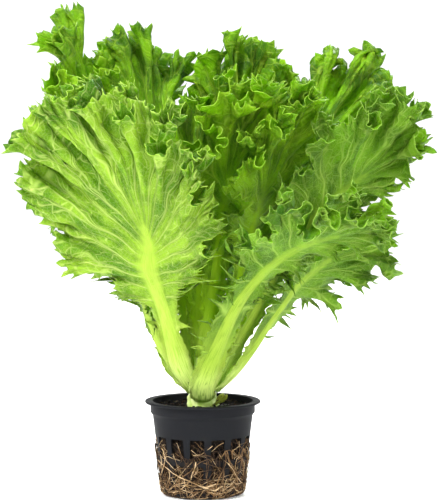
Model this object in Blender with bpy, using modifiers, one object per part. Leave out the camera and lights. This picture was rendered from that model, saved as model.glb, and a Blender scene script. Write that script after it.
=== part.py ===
"""Frilled leaf lettuce growing in a slotted net pot.

Metres, +Z up. The origin is the middle of the pot's foot, and the front of the plant looks along -Y.
"""

import math
import random
from dataclasses import dataclass

import bmesh
import bpy
from mathutils import Matrix, Vector
from mathutils.bvhtree import BVHTree

MM = 0.001
UP = Vector((0, 0, 1))
CLEAR = 0.35 * MM

# Pot
POT_HEIGHT = 49 * MM
POT_STEPS = 42
RIM_RADIUS = 30 * MM
RIM_THICKNESS = 1.2 * MM
RIM_BEVEL = 0.4 * MM
BAND_RADIUS = 27.2 * MM
BAND_BOTTOM = 43 * MM
SHOULDER_RADIUS = 26 * MM
SHOULDER_HEIGHT = 41.5 * MM
FOOT_RADIUS = 21.4 * MM
FOOT_ROUND = 3 * MM
WALL = 1.2 * MM
FLOOR = 1.8 * MM
INNER_ROUND = 1.5 * MM
SLOT_COUNT = 14
SLOT_TIERS = ((20.5 * MM, 30 * MM, 7.4 * MM), (8 * MM, 17.5 * MM, 6.2 * MM))
FLOOR_SLOTS = 7
FLOOR_SLOT_WIDTH = 3 * MM
FLOOR_SLOT_SPAN = (7 * MM, 16 * MM)

# Growing medium
SOIL_TOP = 43 * MM
SOIL_STEPS = 28
SOIL_LUMP = 2.4 * MM
SOIL_LUMP_SPACING = 7 * MM
STEM_HOLE = 8.3 * MM
STEM_HOLE_DEPTH = 11 * MM

# Stem: radius and height up its side, in millimetres
STEM_PROFILE = ((0, 34), (7.2, 36), (7.8, 44), (7.6, 50), (6.6, 56), (5.2, 66), (3.4, 76), (0, 80))
STEM_STEPS = 16

# Seed leaf
SEED_LEAF_LENGTH = 10 * MM
SEED_LEAF_HALF_WIDTH = 2.6 * MM
SEED_LEAF_AZIMUTH = -48
SEED_LEAF_RISE = 28
SEED_LEAF_ROLL = -30
SEED_LEAF_HEIGHT = 47.2 * MM

# Roots on the outside of the pot
ROOT_RADIUS = 0.55 * MM
ROOT_LIFT = 0.5 * MM
ROOT_COUNT = 14
ROOT_END = 4 * MM
ROOT_SEED = 11
RING_ROOTS = (5.5 * MM, 10 * MM)
RING_STEPS = 22

# Leaf blades. A leaf is a fan of rays from its rib to its margin.
VEIN_ANGLES = (0, 24, 48, 70, 80, 55)
VEIN_ROOTS = (1, 0.97, 0.88, 0.74, 0.54, 0)
RIB_EDGE = 0.06
RIB_TURN = 12
ROWS = (0, RIB_EDGE, 0.45, 0.79, 1)
RIB_STEPS = 24
RIB_TAPER = 0.72
RIB_THICKNESS = 3.4 * MM
WIDEST_RIB = 14
BLADE_THICKNESS = 0.9 * MM
FRILL_HEIGHT = 10 * MM
FRILL_SHARE = 0.3
FRILL_RAYS = 4
ROOM_SHARE = 0.38
TOOTH_DEPTH = 4 * MM
TOOTH_SHARE = 0.6

# Room that a leaf keeps to those nearer the heart, at the petioles and further up.
# Below the held height above its root it stays at the stem.
PETIOLE_GAP = 3.6 * MM
BLADE_GAP = 7.6 * MM
GAP_HEIGHTS = (70 * MM, 130 * MM)
BEND_PASSES = 2
BEND_BLURS = 8
BEND_LIMIT = 30 * MM
FEEL = 4 * MM
HELD_HEIGHT = 14 * MM


@dataclass
class Leaf:
    """One leaf: lengths in millimetres, turns in degrees."""

    name: str
    azimuth: float  # side of the stem that it grows on: 0 is +X, 90 is +Y
    root: float  # height where it leaves the stem
    length: float  # along the rib
    leans: tuple  # lean of the rib from upright, from base to end
    left: tuple  # reach of the blade, from beside the tip round to the base
    tip: float
    right: tuple
    rib: float = 8  # width of the rib at its base
    sweep: float = 0  # how far the rib drifts round the plant
    roll: float = 0  # turn of the blade about its rib
    fan: float = 0.9  # spread of the veins
    curl: float = 0.25  # outward bend of the blade
    cup: float = 0.2  # inward wrap of its sides
    rays: int = 44


# From the heart outwards
LEAVES = (
    Leaf("leaf_heart", 250, 76, 60, (8, 4, 6), (24, 22, 18, 7, 1), 28, (24, 22, 18, 7, 1),
         rib=5, sweep=30, fan=0.8, curl=0.1, cup=1.2, rays=24),
    Leaf("leaf_inner_back", 118, 74, 92, (14, 8, 10), (36, 32, 26, 8, 1), 42, (36, 32, 26, 8, 1),
         rib=6, sweep=-20, fan=0.8, curl=0.15, cup=0.8, rays=32),
    Leaf("leaf_inner_front", -76, 72, 98, (16, 10, 14), (46, 42, 32, 8, 1), 48, (46, 42, 32, 8, 1),
         sweep=34, curl=0.1, cup=0.5, rays=40),
    Leaf("leaf_tall_centre", 70, 70, 116, (18, 10, 13), (50, 46, 38, 10, 1), 54, (50, 46, 38, 10, 1),
         sweep=-15, fan=0.85, cup=0.35, rays=42),
    Leaf("leaf_inner_right", -42, 68, 102, (24, 19, 24), (48, 42, 34, 10, 1), 52, (48, 42, 34, 10, 1),
         sweep=6, cup=0.3, rays=42),
    Leaf("leaf_crown_left", 122, 66, 126, (22, 14, 18), (52, 48, 40, 10, 1), 60, (52, 48, 40, 10, 1),
         sweep=6, curl=0.3, cup=0.3),
    Leaf("leaf_tip_left", 156, 62.5, 137.5, (26, 19, 20), (38, 32, 28, 10, 1), 64, (48, 36, 32, 10, 1),
         sweep=-4, curl=0.15, cup=0.25),
    Leaf("leaf_crown_right", 32, 65, 135, (28, 26, 38), (48, 42, 36, 12, 1), 62, (60, 52, 42, 12, 1),
         rib=9, roll=35),
    Leaf("leaf_fan_right", -18, 58, 135, (30, 31, 56), (54, 52, 40, 12, 1), 36, (28, 26, 22, 10, 1),
         rib=9, sweep=4, roll=-50, fan=0.95, curl=0.1),
    Leaf("leaf_back", 96, 59, 108, (32, 32, 42), (56, 52, 42, 12, 1), 58, (56, 52, 42, 12, 1),
         rib=9, sweep=4, fan=0.95, curl=0.35),
    Leaf("leaf_low_left", 181, 58, 72, (26, 32, 38), (36, 34, 26, 12, 3), 34, (28, 22, 16, 10, 3),
         sweep=4, roll=15, fan=1, curl=0.2, cup=0.1, rays=40),
    Leaf("leaf_front_left", -127, 55, 94, (34, 24, 18), (84, 86, 50, 8, 1), 76, (70, 62, 42, 8, 1),
         rib=11, fan=1, curl=0.12, cup=0.1, rays=54),
    Leaf("leaf_low_right", -10, 55, 92, (28, 42, 54), (36, 34, 28, 12, 3), 36, (38, 38, 34, 18, 5),
         rib=9, sweep=6, roll=-40, fan=1, curl=0.2, cup=0.1, rays=40),
    Leaf("leaf_low_back", 56, 53, 104, (30, 38, 50), (48, 44, 32, 10, 1), 48, (48, 44, 32, 10, 1),
         rib=9, sweep=6, fan=1, curl=0.3, cup=0.1, rays=40),
    Leaf("leaf_low_back_left", 132, 53, 104, (28, 35, 48), (46, 40, 28, 9, 1), 48, (46, 40, 28, 9, 1),
         rib=9, sweep=-4, fan=1, curl=0.3, cup=0.1, rays=40),
    Leaf("leaf_front_right", -90, 51, 134, (50, 31, 52, 80), (42, 50, 44, 14, 1), 28, (26, 20, 18, 10, 1),
         rib=11, sweep=60, roll=-25, fan=0.95, curl=0.15, cup=0.1, rays=46),
)


def clear_scene():
    for old in list(bpy.data.objects):
        bpy.data.objects.remove(old)


def collection_named(name):
    made = bpy.data.collections.new(name)
    bpy.context.scene.collection.children.link(made)
    return made


def material(name, colour, roughness, metallic=0.0):
    made = bpy.data.materials.new(name)
    made.use_nodes = True
    shader = made.node_tree.nodes["Principled BSDF"]
    shader.inputs["Base Color"].default_value = (*colour, 1)
    shader.inputs["Roughness"].default_value = roughness
    shader.inputs["Metallic"].default_value = metallic
    return made


def add_object(name, shape, home, finish=None):
    made = bpy.data.objects.new(name, shape)
    if finish:
        shape.materials.append(finish)
    home.objects.link(made)
    return made


def mesh_from(name, bm):
    shape = bpy.data.meshes.new(name)
    bm.to_mesh(shape)
    bm.free()
    return shape


def evaluated_mesh(thing):
    """Mesh of an object as its modifiers or bevel leave it."""
    bpy.context.view_layer.update()
    graph = bpy.context.evaluated_depsgraph_get()
    return bpy.data.meshes.new_from_object(thing.evaluated_get(graph))


def along(values, share):
    """Smooth value at a share, 0 to 1, of the way along evenly spaced values."""
    place = min(max(share, 0), 1) * (len(values) - 1)
    first = min(int(place), len(values) - 2)
    f = place - first
    before = values[max(first - 1, 0)]
    a, b = values[first], values[first + 1]
    after = values[min(first + 2, len(values) - 1)]
    bend = 2 * before - 5 * a + 4 * b - after + f * (3 * (a - b) + after - before)
    return a + 0.5 * f * (b - before + f * bend)


def smooth_step(low, high, value):
    f = min(max((value - low) / (high - low), 0), 1)
    return f * f * (3 - 2 * f)


def around(azimuth, radius, height):
    """Point at an azimuth, in radians, round the plant's axis."""
    return Vector((radius * math.cos(azimuth), radius * math.sin(azimuth), height))


def away_from_axis(point):
    return Vector((point.x, point.y, 0)).normalized()


# Leaves


def stem_radius(height):
    """Radius of the stem at a height, from its profile."""
    for (r0, z0), (r1, z1) in zip(STEM_PROFILE, STEM_PROFILE[1:]):
        if z0 <= height / MM <= z1:
            return MM * (r0 + (r1 - r0) * (height / MM - z0) / (z1 - z0))
    return 0.0


def rib_frames(leaf):
    """Point, forward, outward and side directions at even steps along a leaf's rib."""
    height = leaf.root * MM
    point = around(math.radians(leaf.azimuth), stem_radius(height) + CLEAR, height)
    frames = []
    for step in range(RIB_STEPS + 1):
        u = step / RIB_STEPS
        azimuth = math.radians(leaf.azimuth + leaf.sweep * (1 - (1 - u) ** 3))
        lean = math.radians(along(leaf.leans, u))
        away = around(azimuth, 1, 0)
        forward = away * math.sin(lean) + UP * math.cos(lean)
        outward = away * math.cos(lean) - UP * math.sin(lean)
        outward.rotate(Matrix.Rotation(math.radians(leaf.roll) * u, 3, forward))
        frames.append((point.copy(), forward, outward, outward.cross(forward)))
        point += forward * leaf.length * MM / RIB_STEPS
    return frames


def frame_at(frames, u):
    place = min(max(u, 0), 1) * RIB_STEPS
    first = min(int(place), RIB_STEPS - 1)
    return [a.lerp(b, place - first) for a, b in zip(frames[first], frames[first + 1])]


def blade_point(leaf, frames, s, row):
    """Blade before its frills: s runs -1 to 1 round the margin, row 0 to 1 from rib to margin.

    Each ray first crosses half the rib, square to it but at the tip, and then follows its vein."""
    station = abs(s)
    u = along(VEIN_ROOTS, station)
    angle = math.radians(along(VEIN_ANGLES, station) * leaf.fan)
    reach = along((leaf.tip, *(leaf.left if s > 0 else leaf.right)), station) * MM
    half_rib = 0.5 * MM * leaf.rib * (1 - RIB_TAPER * u) if row else 0
    edge_angle = math.pi / 2 * (1 - (1 - station) ** RIB_TURN)
    distance = reach * (row - RIB_EDGE) / (1 - RIB_EDGE) if row else 0
    ahead = half_rib * math.cos(edge_angle) + distance * math.cos(angle)
    aside = half_rib * math.sin(edge_angle) + distance * math.sin(angle)
    root, forward, outward, side = frame_at(frames, u)
    bend = (leaf.curl * distance**2 - leaf.cup * aside**2) / (100 * MM)
    return root + forward * ahead + side * math.copysign(aside, s) + outward * bend


def smooth_grid(leaf):
    """Points of a leaf's smooth blade, as rays of rows."""
    frames = rib_frames(leaf)
    shares = [2 * i / leaf.rays - 1 for i in range(leaf.rays + 1)]
    return [[blade_point(leaf, frames, s, row) for row in ROWS] for s in shares]


def grid_tree(grid):
    """Search tree of a leaf's smooth surface."""
    rows = len(ROWS)
    points = [point for ray in grid for point in ray]
    corners = [i * rows + j for i in range(len(grid) - 1) for j in range(rows - 1)]
    return BVHTree.FromPolygons(points, [(k, k + 1, k + rows + 1, k + rows) for k in corners])


def need_outwards(point, inner_trees):
    """How far a point must move out from the plant's axis to lie outside the leaves nearer the heart."""
    away = away_from_axis(point)
    across = UP.cross(away)
    room = PETIOLE_GAP + (BLADE_GAP - PETIOLE_GAP) * smooth_step(*GAP_HEIGHTS, point.z)
    span = BEND_LIMIT + math.hypot(point.x, point.y)
    need = 0.0
    for aside, rise in ((0, 0), (1, 0), (-1, 0), (0, 1), (0, -1)):
        start = point + away * BEND_LIMIT + (across * aside + UP * rise) * FEEL
        for tree in inner_trees:
            distance = tree.ray_cast(start, -away, span)[3]
            if distance is not None:
                need = max(need, BEND_LIMIT - distance + room)
    return need


def spread(field, mix):
    """Field of rays and rows with each value mixed with those next to it; both wings keep one rib."""
    last, end = len(field) - 1, len(ROWS) - 1
    made = []
    for i, ray in enumerate(field):
        before, after = field[max(i - 1, 0)], field[min(i + 1, last)]
        beside = [(before[j], after[j], ray[max(j - 1, 0)], ray[min(j + 1, end)]) for j in range(end + 1)]
        made.append([mix(value, near) for value, near in zip(ray, beside)])
    for i in range(last + 1):
        made[i][0] = max(made[i][0], made[last - i][0])
        made[last - i][0] = made[i][0]
    return made


def bend_clear(leaf, grid, inner_trees):
    """Bends a leaf smoothly outwards where it would pass through leaves nearer the heart."""
    for _ in range(BEND_PASSES):
        needs = [[need_outwards(point, inner_trees) for point in ray] for ray in grid]
        needs = spread(needs, lambda value, near: max(value, *near))
        for _ in range(BEND_BLURS):
            needs = spread(needs, lambda value, near: (2 * value + sum(near)) / 6)
        for ray, ray_needs in zip(grid, needs):
            for point, need in zip(ray, ray_needs):
                free = smooth_step(0, HELD_HEIGHT, point.z - leaf.root * MM)
                point += away_from_axis(point) * need * free


def outward_normal(grid, i, j):
    """Direction square to a leaf's smooth blade, on its outer side."""
    ray = grid[i]
    across = grid[min(i + 1, len(grid) - 1)][j] - grid[max(i - 1, 0)][j]
    margin_ward = ray[min(j + 1, len(ray) - 1)] - ray[j - 1]
    return margin_ward.cross(across).normalized()


def room_beside(point, normal, trees):
    """Free distance to the other leaves on the outer and the inner side of a point."""
    outer = inner = 1.0
    for tree in trees:
        near, _, _, distance = tree.find_nearest(point)
        side = (near - point).dot(normal) / max(distance, MM)
        if side > -0.4:
            outer = min(outer, distance)
        if side < 0.4:
            inner = min(inner, distance)
    return outer, inner


def frill(leaf, index, i, row, highest, rooms):
    """How far the blade swings out of its smooth surface at a ray and row."""
    phase = index * 1.3
    wave = math.sin(math.tau * i / FRILL_RAYS + phase) + 0.4 * math.sin(1.7 * i + 2 * phase)
    wave = min(max(wave, -1), 1)
    ends = min(1, min(i, leaf.rays - i) / 5)
    outer, inner = [min(highest, ROOM_SHARE * max(room - 1.5 * MM, 0)) for room in rooms]
    swing = (outer - inner) / 2 + (outer + inner) / 2 * wave
    return ends * smooth_step(0.2, 1, row) * swing


def leaf_mesh(leaf, index, grid, others):
    """Leaf as one sheet, frilled and toothed, with each point's share of the rib's thickness."""
    last_row = len(ROWS) - 1
    bm = bmesh.new()
    bmesh.ops.create_grid(bm, x_segments=leaf.rays, y_segments=last_row, size=1)
    thick = bm.verts.layers.deform.verify()
    for vert in bm.verts:
        i = round((vert.co.x + 1) / 2 * leaf.rays)
        j = round((vert.co.y + 1) / 2 * last_row)
        point = grid[i][j].copy()
        if j > 1:
            normal = outward_normal(grid, i, j)
            highest = min(FRILL_HEIGHT, FRILL_SHARE * (grid[i][-1] - grid[i][1]).length)
            rooms = room_beside(point, normal, others)
            point += normal * frill(leaf, index, i, ROWS[j], highest, rooms)
        if j == last_row and i % 2:
            back = grid[i][j - 1] - grid[i][j]
            point += back * min(TOOTH_DEPTH / back.length, TOOTH_SHARE)
        vert.co = point
        u = along(VEIN_ROOTS, abs(2 * i / leaf.rays - 1))
        vert[thick][0] = (1, 0.55)[j] * (1 - u) * leaf.rib / WIDEST_RIB if j < 2 else 0
    bmesh.ops.remove_doubles(bm, verts=bm.verts, dist=0.01 * MM)
    bmesh.ops.triangulate(bm, faces=bm.faces)
    return mesh_from(leaf.name, bm)


def thicken(made):
    """Gives a leaf its blade and rib thickness, on its outer side."""
    made.vertex_groups.new(name="rib")
    shell = made.modifiers.new("thickness", "SOLIDIFY")
    shell.thickness = RIB_THICKNESS
    shell.offset = -1
    shell.vertex_group = "rib"
    shell.thickness_vertex_group = BLADE_THICKNESS / RIB_THICKNESS


def leaf_green(share):
    """Green of a leaf, from the yellower heart, 0, to the outermost leaf, 1."""
    heart, outermost = (0.33, 0.5, 0.05), (0.17, 0.36, 0.03)
    return [a + (b - a) * share for a, b in zip(heart, outermost)]


def make_leaves(home):
    grids = []
    for leaf in LEAVES:
        grid = smooth_grid(leaf)
        bend_clear(leaf, grid, [grid_tree(inner) for inner in grids])
        grids.append(grid)
    trees = [grid_tree(grid) for grid in grids]
    for index, (leaf, grid) in enumerate(zip(LEAVES, grids)):
        others = trees[:index] + trees[index + 1 :]
        finish = material(leaf.name, leaf_green(index / (len(LEAVES) - 1)), 0.45)
        made = add_object(leaf.name, leaf_mesh(leaf, index, grid, others), home, finish)
        thicken(made)


def make_seed_leaf(home):
    """Small rounded seed leaf on a short stalk, leaning out over the growing medium."""
    bm = bmesh.new()
    bmesh.ops.create_grid(bm, x_segments=8, y_segments=4, size=1)
    for vert in bm.verts:
        f, aside = (vert.co.x + 1) / 2, vert.co.y
        oval = 0.16 + 0.84 * smooth_step(0.25, 0.75, f) * math.sqrt(max(1.02 - f**4, 0.02))
        arch = 0.18 * (f**2 + 0.3 * aside**2 * f)
        vert.co = (f * SEED_LEAF_LENGTH, aside * oval * SEED_LEAF_HALF_WIDTH, arch * SEED_LEAF_LENGTH)
    finish = material("seed_leaf", (0.16, 0.22, 0.03), 0.5)
    made = add_object("seed_leaf", mesh_from("seed_leaf", bm), home, finish)
    shell = made.modifiers.new("thickness", "SOLIDIFY")
    shell.thickness = BLADE_THICKNESS
    azimuth = math.radians(SEED_LEAF_AZIMUTH)
    made.rotation_euler = (math.radians(SEED_LEAF_ROLL), math.radians(-SEED_LEAF_RISE), azimuth)
    made.location = around(azimuth, stem_radius(SEED_LEAF_HEIGHT) + CLEAR, SEED_LEAF_HEIGHT)


# Stem, pot, growing medium and roots


def turned(name, profile, steps, home, finish):
    """Solid turned about Z. Its profile starts and ends on the axis and runs down its outer side."""
    bm = bmesh.new()
    verts = [bm.verts.new((r, 0, z)) for r, z in profile]
    for a, b in zip(verts, verts[1:]):
        bm.edges.new((a, b))
    made = add_object(name, mesh_from(name, bm), home, finish)
    screw = made.modifiers.new("turn", "SCREW")
    screw.steps = screw.render_steps = steps
    screw.use_merge_vertices = True
    screw.merge_threshold = 0.00005
    return made


def make_stem(home):
    profile = [(r * MM, z * MM) for r, z in reversed(STEM_PROFILE)]
    turned("stem", profile, STEM_STEPS, home, material("stem", (0.62, 0.72, 0.3), 0.5))


def pot_radius(height):
    """Outer radius of the pot's tapered wall below its shoulder."""
    share = (height - FOOT_ROUND) / (SHOULDER_HEIGHT - FOOT_ROUND)
    return FOOT_RADIUS + (SHOULDER_RADIUS - FOOT_RADIUS) * share


def pot_inside(height):
    """Inner radius of the pot's tapered wall."""
    foot = FLOOR + INNER_ROUND
    share = (height - foot) / (SHOULDER_HEIGHT - foot)
    return FOOT_RADIUS + (SHOULDER_RADIUS - FOOT_RADIUS) * share - WALL


def pot_profile():
    """Cross-section of the pot: along its floor, up the inside, over the rim and down the outside."""
    foot = FLOOR + INNER_ROUND
    rim_under = POT_HEIGHT - RIM_THICKNESS
    turns = [math.radians(a) for a in (0, 45, 90)]
    rounding = [
        (FOOT_RADIUS - FOOT_ROUND * (1 - math.cos(a)), FOOT_ROUND * (1 - math.sin(a))) for a in turns
    ]
    return [
        (0, FLOOR),
        (pot_inside(foot) - INNER_ROUND, FLOOR),
        (pot_inside(foot), foot),
        (pot_inside(SHOULDER_HEIGHT), SHOULDER_HEIGHT),
        (BAND_RADIUS - WALL, BAND_BOTTOM + 1 * MM),
        (BAND_RADIUS - WALL, POT_HEIGHT),
        (RIM_RADIUS - RIM_BEVEL, POT_HEIGHT),
        (RIM_RADIUS, POT_HEIGHT - RIM_BEVEL),
        (RIM_RADIUS, rim_under),
        (BAND_RADIUS, rim_under),
        (BAND_RADIUS, BAND_BOTTOM),
        (SHOULDER_RADIUS, SHOULDER_HEIGHT),
        *rounding,
        (0, 0),
    ]


def slot_turn(n):
    """Direction of the middle of side slot n."""
    return math.tau * (n + 0.25) / SLOT_COUNT


def add_box(bm, turn, centre, size):
    """Box turned about Z, with its centre along its own X axis."""
    place = Matrix.Rotation(turn, 4, "Z") @ Matrix.Translation(centre) @ Matrix.Diagonal((*size, 1))
    bmesh.ops.create_cube(bm, size=1, matrix=place)


def slot_cutters(home):
    """Boxes that cut the two tiers of side slots and the slots of the floor."""
    bm = bmesh.new()
    for bottom, top, width in SLOT_TIERS:
        for n in range(SLOT_COUNT):
            centre = (pot_radius(bottom), 0, (bottom + top) / 2)
            add_box(bm, slot_turn(n), centre, (12 * MM, width, top - bottom))
    inner, outer = FLOOR_SLOT_SPAN
    for n in range(FLOOR_SLOTS):
        centre = ((inner + outer) / 2, 0, FLOOR / 2)
        add_box(bm, math.tau * n / FLOOR_SLOTS, centre, (outer - inner, FLOOR_SLOT_WIDTH, 3 * FLOOR))
    cutter = add_object("slot_cutters", mesh_from("slot_cutters", bm), home)
    cutter.hide_render = True
    cutter.display_type = "WIRE"
    return cutter


def make_pot(home, cutters):
    finish = material("net_pot", (0.03, 0.032, 0.036), 0.4)
    pot = turned("net_pot", pot_profile(), POT_STEPS, home, finish)
    cut = pot.modifiers.new("slots", "BOOLEAN")
    cut.operation = "DIFFERENCE"
    cut.object = slot_cutters(cutters)


def make_soil(home):
    """Plug of growing medium that fills the pot, with a lumpy top and a plain hole for the stem."""
    base = FLOOR + CLEAR
    foot = base + 2 * MM
    edge = SOIL_TOP - 3.5 * MM
    top = [(STEM_HOLE, SOIL_TOP), (13 * MM, SOIL_TOP), (19 * MM, SOIL_TOP)]
    profile = [
        (0, SOIL_TOP - STEM_HOLE_DEPTH),
        (STEM_HOLE, SOIL_TOP - STEM_HOLE_DEPTH),
        *top,
        (pot_inside(edge) - CLEAR, edge),
        (pot_inside(foot) - CLEAR, foot),
        (pot_inside(foot) - CLEAR - 2 * MM, base),
        (0, base),
    ]
    finish = material("growing_medium", (0.05, 0.03, 0.02), 0.95)
    soil = turned("growing_medium", profile, SOIL_STEPS, home, finish)
    soil.vertex_groups.new(name="top").add([2, 3, 4], 1, "REPLACE")
    clouds = bpy.data.textures.new("lumps", "CLOUDS")
    clouds.noise_scale = SOIL_LUMP_SPACING
    lumps = soil.modifiers.new("lumps", "DISPLACE")
    lumps.texture = clouds
    lumps.direction = "Z"
    lumps.strength = SOIL_LUMP
    lumps.mid_level = 0.6
    lumps.vertex_group = "top"


def outside_pot(azimuth, height):
    """Middle of a root that lies on the outside of the pot's wall."""
    return around(azimuth, pot_radius(height) + ROOT_LIFT + ROOT_RADIUS, height)


def root_path(start, drift, top, draw):
    """Points of a root that comes out of a slot and wanders down over the outside of the pot."""
    points = [around(start, pot_inside(top) + ROOT_RADIUS, top), outside_pot(start, top - 1 * MM)]
    count = 4 + int(abs(drift) * FOOT_RADIUS / (9 * MM))
    for n in range(1, count + 1):
        f = n / count
        height = top - 1 * MM + (ROOT_END - top) * f + draw.uniform(-0.6, 0.6) * MM
        points.append(outside_pot(start + drift * f + draw.uniform(-0.05, 0.05), height))
    return points


def ring_path(start, height, draw):
    """Points of a root that runs round the pot near its foot."""
    turns = [start + math.tau * 0.97 * k / RING_STEPS for k in range(RING_STEPS + 1)]
    return [outside_pot(a, height + draw.uniform(-0.9, 0.9) * MM) for a in turns]


def root_tube(name, points, home):
    """Root as a mesh: a bevelled line with its ends closed."""
    curve = bpy.data.curves.new(name, "CURVE")
    curve.dimensions = "3D"
    curve.bevel_depth = ROOT_RADIUS
    curve.bevel_resolution = 0
    curve.use_fill_caps = True
    spline = curve.splines.new("POLY")
    spline.points.add(len(points) - 1)
    for place, point in zip(spline.points, points):
        place.co = (*point, 1)
    line = add_object(name, curve, home)
    bm = bmesh.new()
    bm.from_mesh(evaluated_mesh(line))
    bmesh.ops.remove_doubles(bm, verts=bm.verts, dist=0.01 * MM)
    bpy.data.objects.remove(line)
    return add_object(name, mesh_from(name, bm), home)


def make_roots(home):
    """Net of roots over the outside of the pot, joined where they cross."""
    draw = random.Random(ROOT_SEED)
    loose = collection_named("loose_roots")
    roots = root_tube("roots", ring_path(0, RING_ROOTS[0], draw), home)
    root_tube("root_ring", ring_path(2, RING_ROOTS[1], draw), loose)
    for n in range(ROOT_COUNT):
        low, high, _ = SLOT_TIERS[n % 2]
        top = draw.uniform(low + 3 * MM, high - 2 * MM)
        root_tube(f"root_{n}", root_path(slot_turn(n), draw.uniform(-1, 1), top, draw), loose)
    join = roots.modifiers.new("join", "BOOLEAN")
    join.operation = "UNION"
    join.operand_type = "COLLECTION"
    join.collection = loose
    joined = evaluated_mesh(roots)
    roots.modifiers.remove(join)
    roots.data = joined
    joined.materials.clear()
    joined.materials.append(material("roots", (0.5, 0.36, 0.2), 0.8))
    for tube in list(loose.objects):
        bpy.data.objects.remove(tube)
    bpy.data.collections.remove(loose)


def main():
    clear_scene()
    lettuce = collection_named("leaf_lettuce")
    cutters = collection_named("cutters")
    make_leaves(lettuce)
    make_seed_leaf(lettuce)
    make_stem(lettuce)
    make_pot(lettuce, cutters)
    make_soil(lettuce)
    make_roots(lettuce)


main()
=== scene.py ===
# Frilled leaf lettuce in a slotted net pot: the finish of every piece, round the fixed frame.

import math
import random

import bmesh
import bpy
import numpy as np
from mathutils import Matrix, Vector, noise
from mathutils.bvhtree import BVHTree


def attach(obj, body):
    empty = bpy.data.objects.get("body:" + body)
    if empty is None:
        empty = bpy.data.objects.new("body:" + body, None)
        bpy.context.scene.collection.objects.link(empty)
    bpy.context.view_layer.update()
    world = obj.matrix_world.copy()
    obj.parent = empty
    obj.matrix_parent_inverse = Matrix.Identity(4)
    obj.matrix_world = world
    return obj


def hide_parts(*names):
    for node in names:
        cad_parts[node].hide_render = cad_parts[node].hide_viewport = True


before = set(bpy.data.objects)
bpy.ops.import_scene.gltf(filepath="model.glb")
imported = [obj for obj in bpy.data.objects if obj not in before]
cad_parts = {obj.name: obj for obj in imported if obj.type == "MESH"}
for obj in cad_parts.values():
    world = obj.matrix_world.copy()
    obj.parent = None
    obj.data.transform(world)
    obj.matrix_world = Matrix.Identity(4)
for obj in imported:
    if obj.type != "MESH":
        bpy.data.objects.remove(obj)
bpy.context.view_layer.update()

mm = 0.001
up = Vector((0, 0, 1))
smooth = dict(interpolation_type="SMOOTHSTEP")  # settings of a Map Range node
colours = dict(data_type="RGBA", out=2)  # settings of a Mix node, and its output


# Small helpers


def linearColour(code):  # sRGB hex to the linear values that Blender's sockets take
    parts = [int(code[k : k + 2], 16) / 255 for k in (1, 3, 5)]
    return [*[c / 12.92 if c <= 0.04045 else ((c + 0.055) / 1.055) ** 2.4 for c in parts], 1]


def addNode(tree, kind, links=None, out=0, **settings):
    # a node with its settings; links gives, for each input, another node's output or a plain value
    node = tree.nodes.new("ShaderNode" + kind)
    for key, value in settings.items():
        setattr(node, key, value)
    for key, value in (links or {}).items():
        if isinstance(value, bpy.types.NodeSocket):
            tree.links.new(value, node.inputs[key])
        else:
            node.inputs[key].default_value = value
    return node.outputs[out] if node.outputs else node


def newMaterial(name):
    made = bpy.data.materials.new(name)
    made.use_nodes = True
    made.node_tree.nodes.clear()
    return made, made.node_tree


def layOver(tree, below, above, pattern, low, high, most=1):
    # one colour over another: its share grows to most while the pattern goes from low to high
    share = addNode(tree, "MapRange", {0: pattern, 1: low, 2: high, 4: most}, **smooth)
    return addNode(tree, "Mix", {0: share, 6: below, 7: above}, **colours)


def meshFrom(name, bm):
    made = bpy.data.meshes.new(name)
    bm.to_mesh(made)
    bm.free()
    return made


def newObject(name, data):
    made = bpy.data.objects.new(name, data)
    bpy.context.scene.collection.objects.link(made)
    return made


def newPiece(name, shape, nodes, slot, *finishes):
    # a piece of the object: it rides on the one body and stands for the CAD nodes
    made = newObject(name, shape)
    shape.materials.clear()
    for finish in finishes:
        shape.materials.append(finish)
    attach(made, "root")
    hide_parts(*nodes)
    return made


def aimAt(thing, place, aim):  # a camera or a lamp at a place, looking at a point
    thing.location = place
    sight = Vector(aim) - thing.location
    thing.rotation_euler = sight.to_track_quat("-Z", "Y").to_euler()


def evaluatedMesh(thing):
    bpy.context.view_layer.update()
    graph = bpy.context.evaluated_depsgraph_get()
    return bpy.data.meshes.new_from_object(thing.evaluated_get(graph))


def along(values, share):  # smooth value at a share of the way along evenly spaced values
    place = min(max(share, 0), 1) * (len(values) - 1)
    first = min(int(place), len(values) - 2)
    f = place - first
    before = values[max(first - 1, 0)]
    a, b = values[first], values[first + 1]
    after = values[min(first + 2, len(values) - 1)]
    bend = 2 * before - 5 * a + 4 * b - after + f * (3 * (a - b) + after - before)
    return a + 0.5 * f * (b - before + f * bend)


def smoothStep(low, high, value):
    f = np.clip((value - low) / (high - low), 0, 1)
    return f * f * (3 - 2 * f)


def around(azimuth, radius, height):  # azimuth in radians round the plant's axis
    return Vector((radius * math.cos(azimuth), radius * math.sin(azimuth), height))


def awayFromAxis(point):
    return Vector((point.x, point.y, 0)).normalized()


# The view: the camera that took the photograph, for a pot rim 60 mm across

view = dict(place=(0.0082, -0.99, 0.185), aim=(0.0082, 0, 0.127), lens=138, sensor=36)


def makeCamera():
    camera = newObject("camera", bpy.data.cameras.new("camera"))
    camera.data.lens = view["lens"]
    camera.data.sensor_width = view["sensor"]
    aimAt(camera, view["place"], view["aim"])
    bpy.context.scene.camera = camera
    bpy.context.scene.view_settings.view_transform = "Standard"  # leaf greens stay bright


# The studio: a wide bowl of pale paper, a bright tent and soft lights

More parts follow.
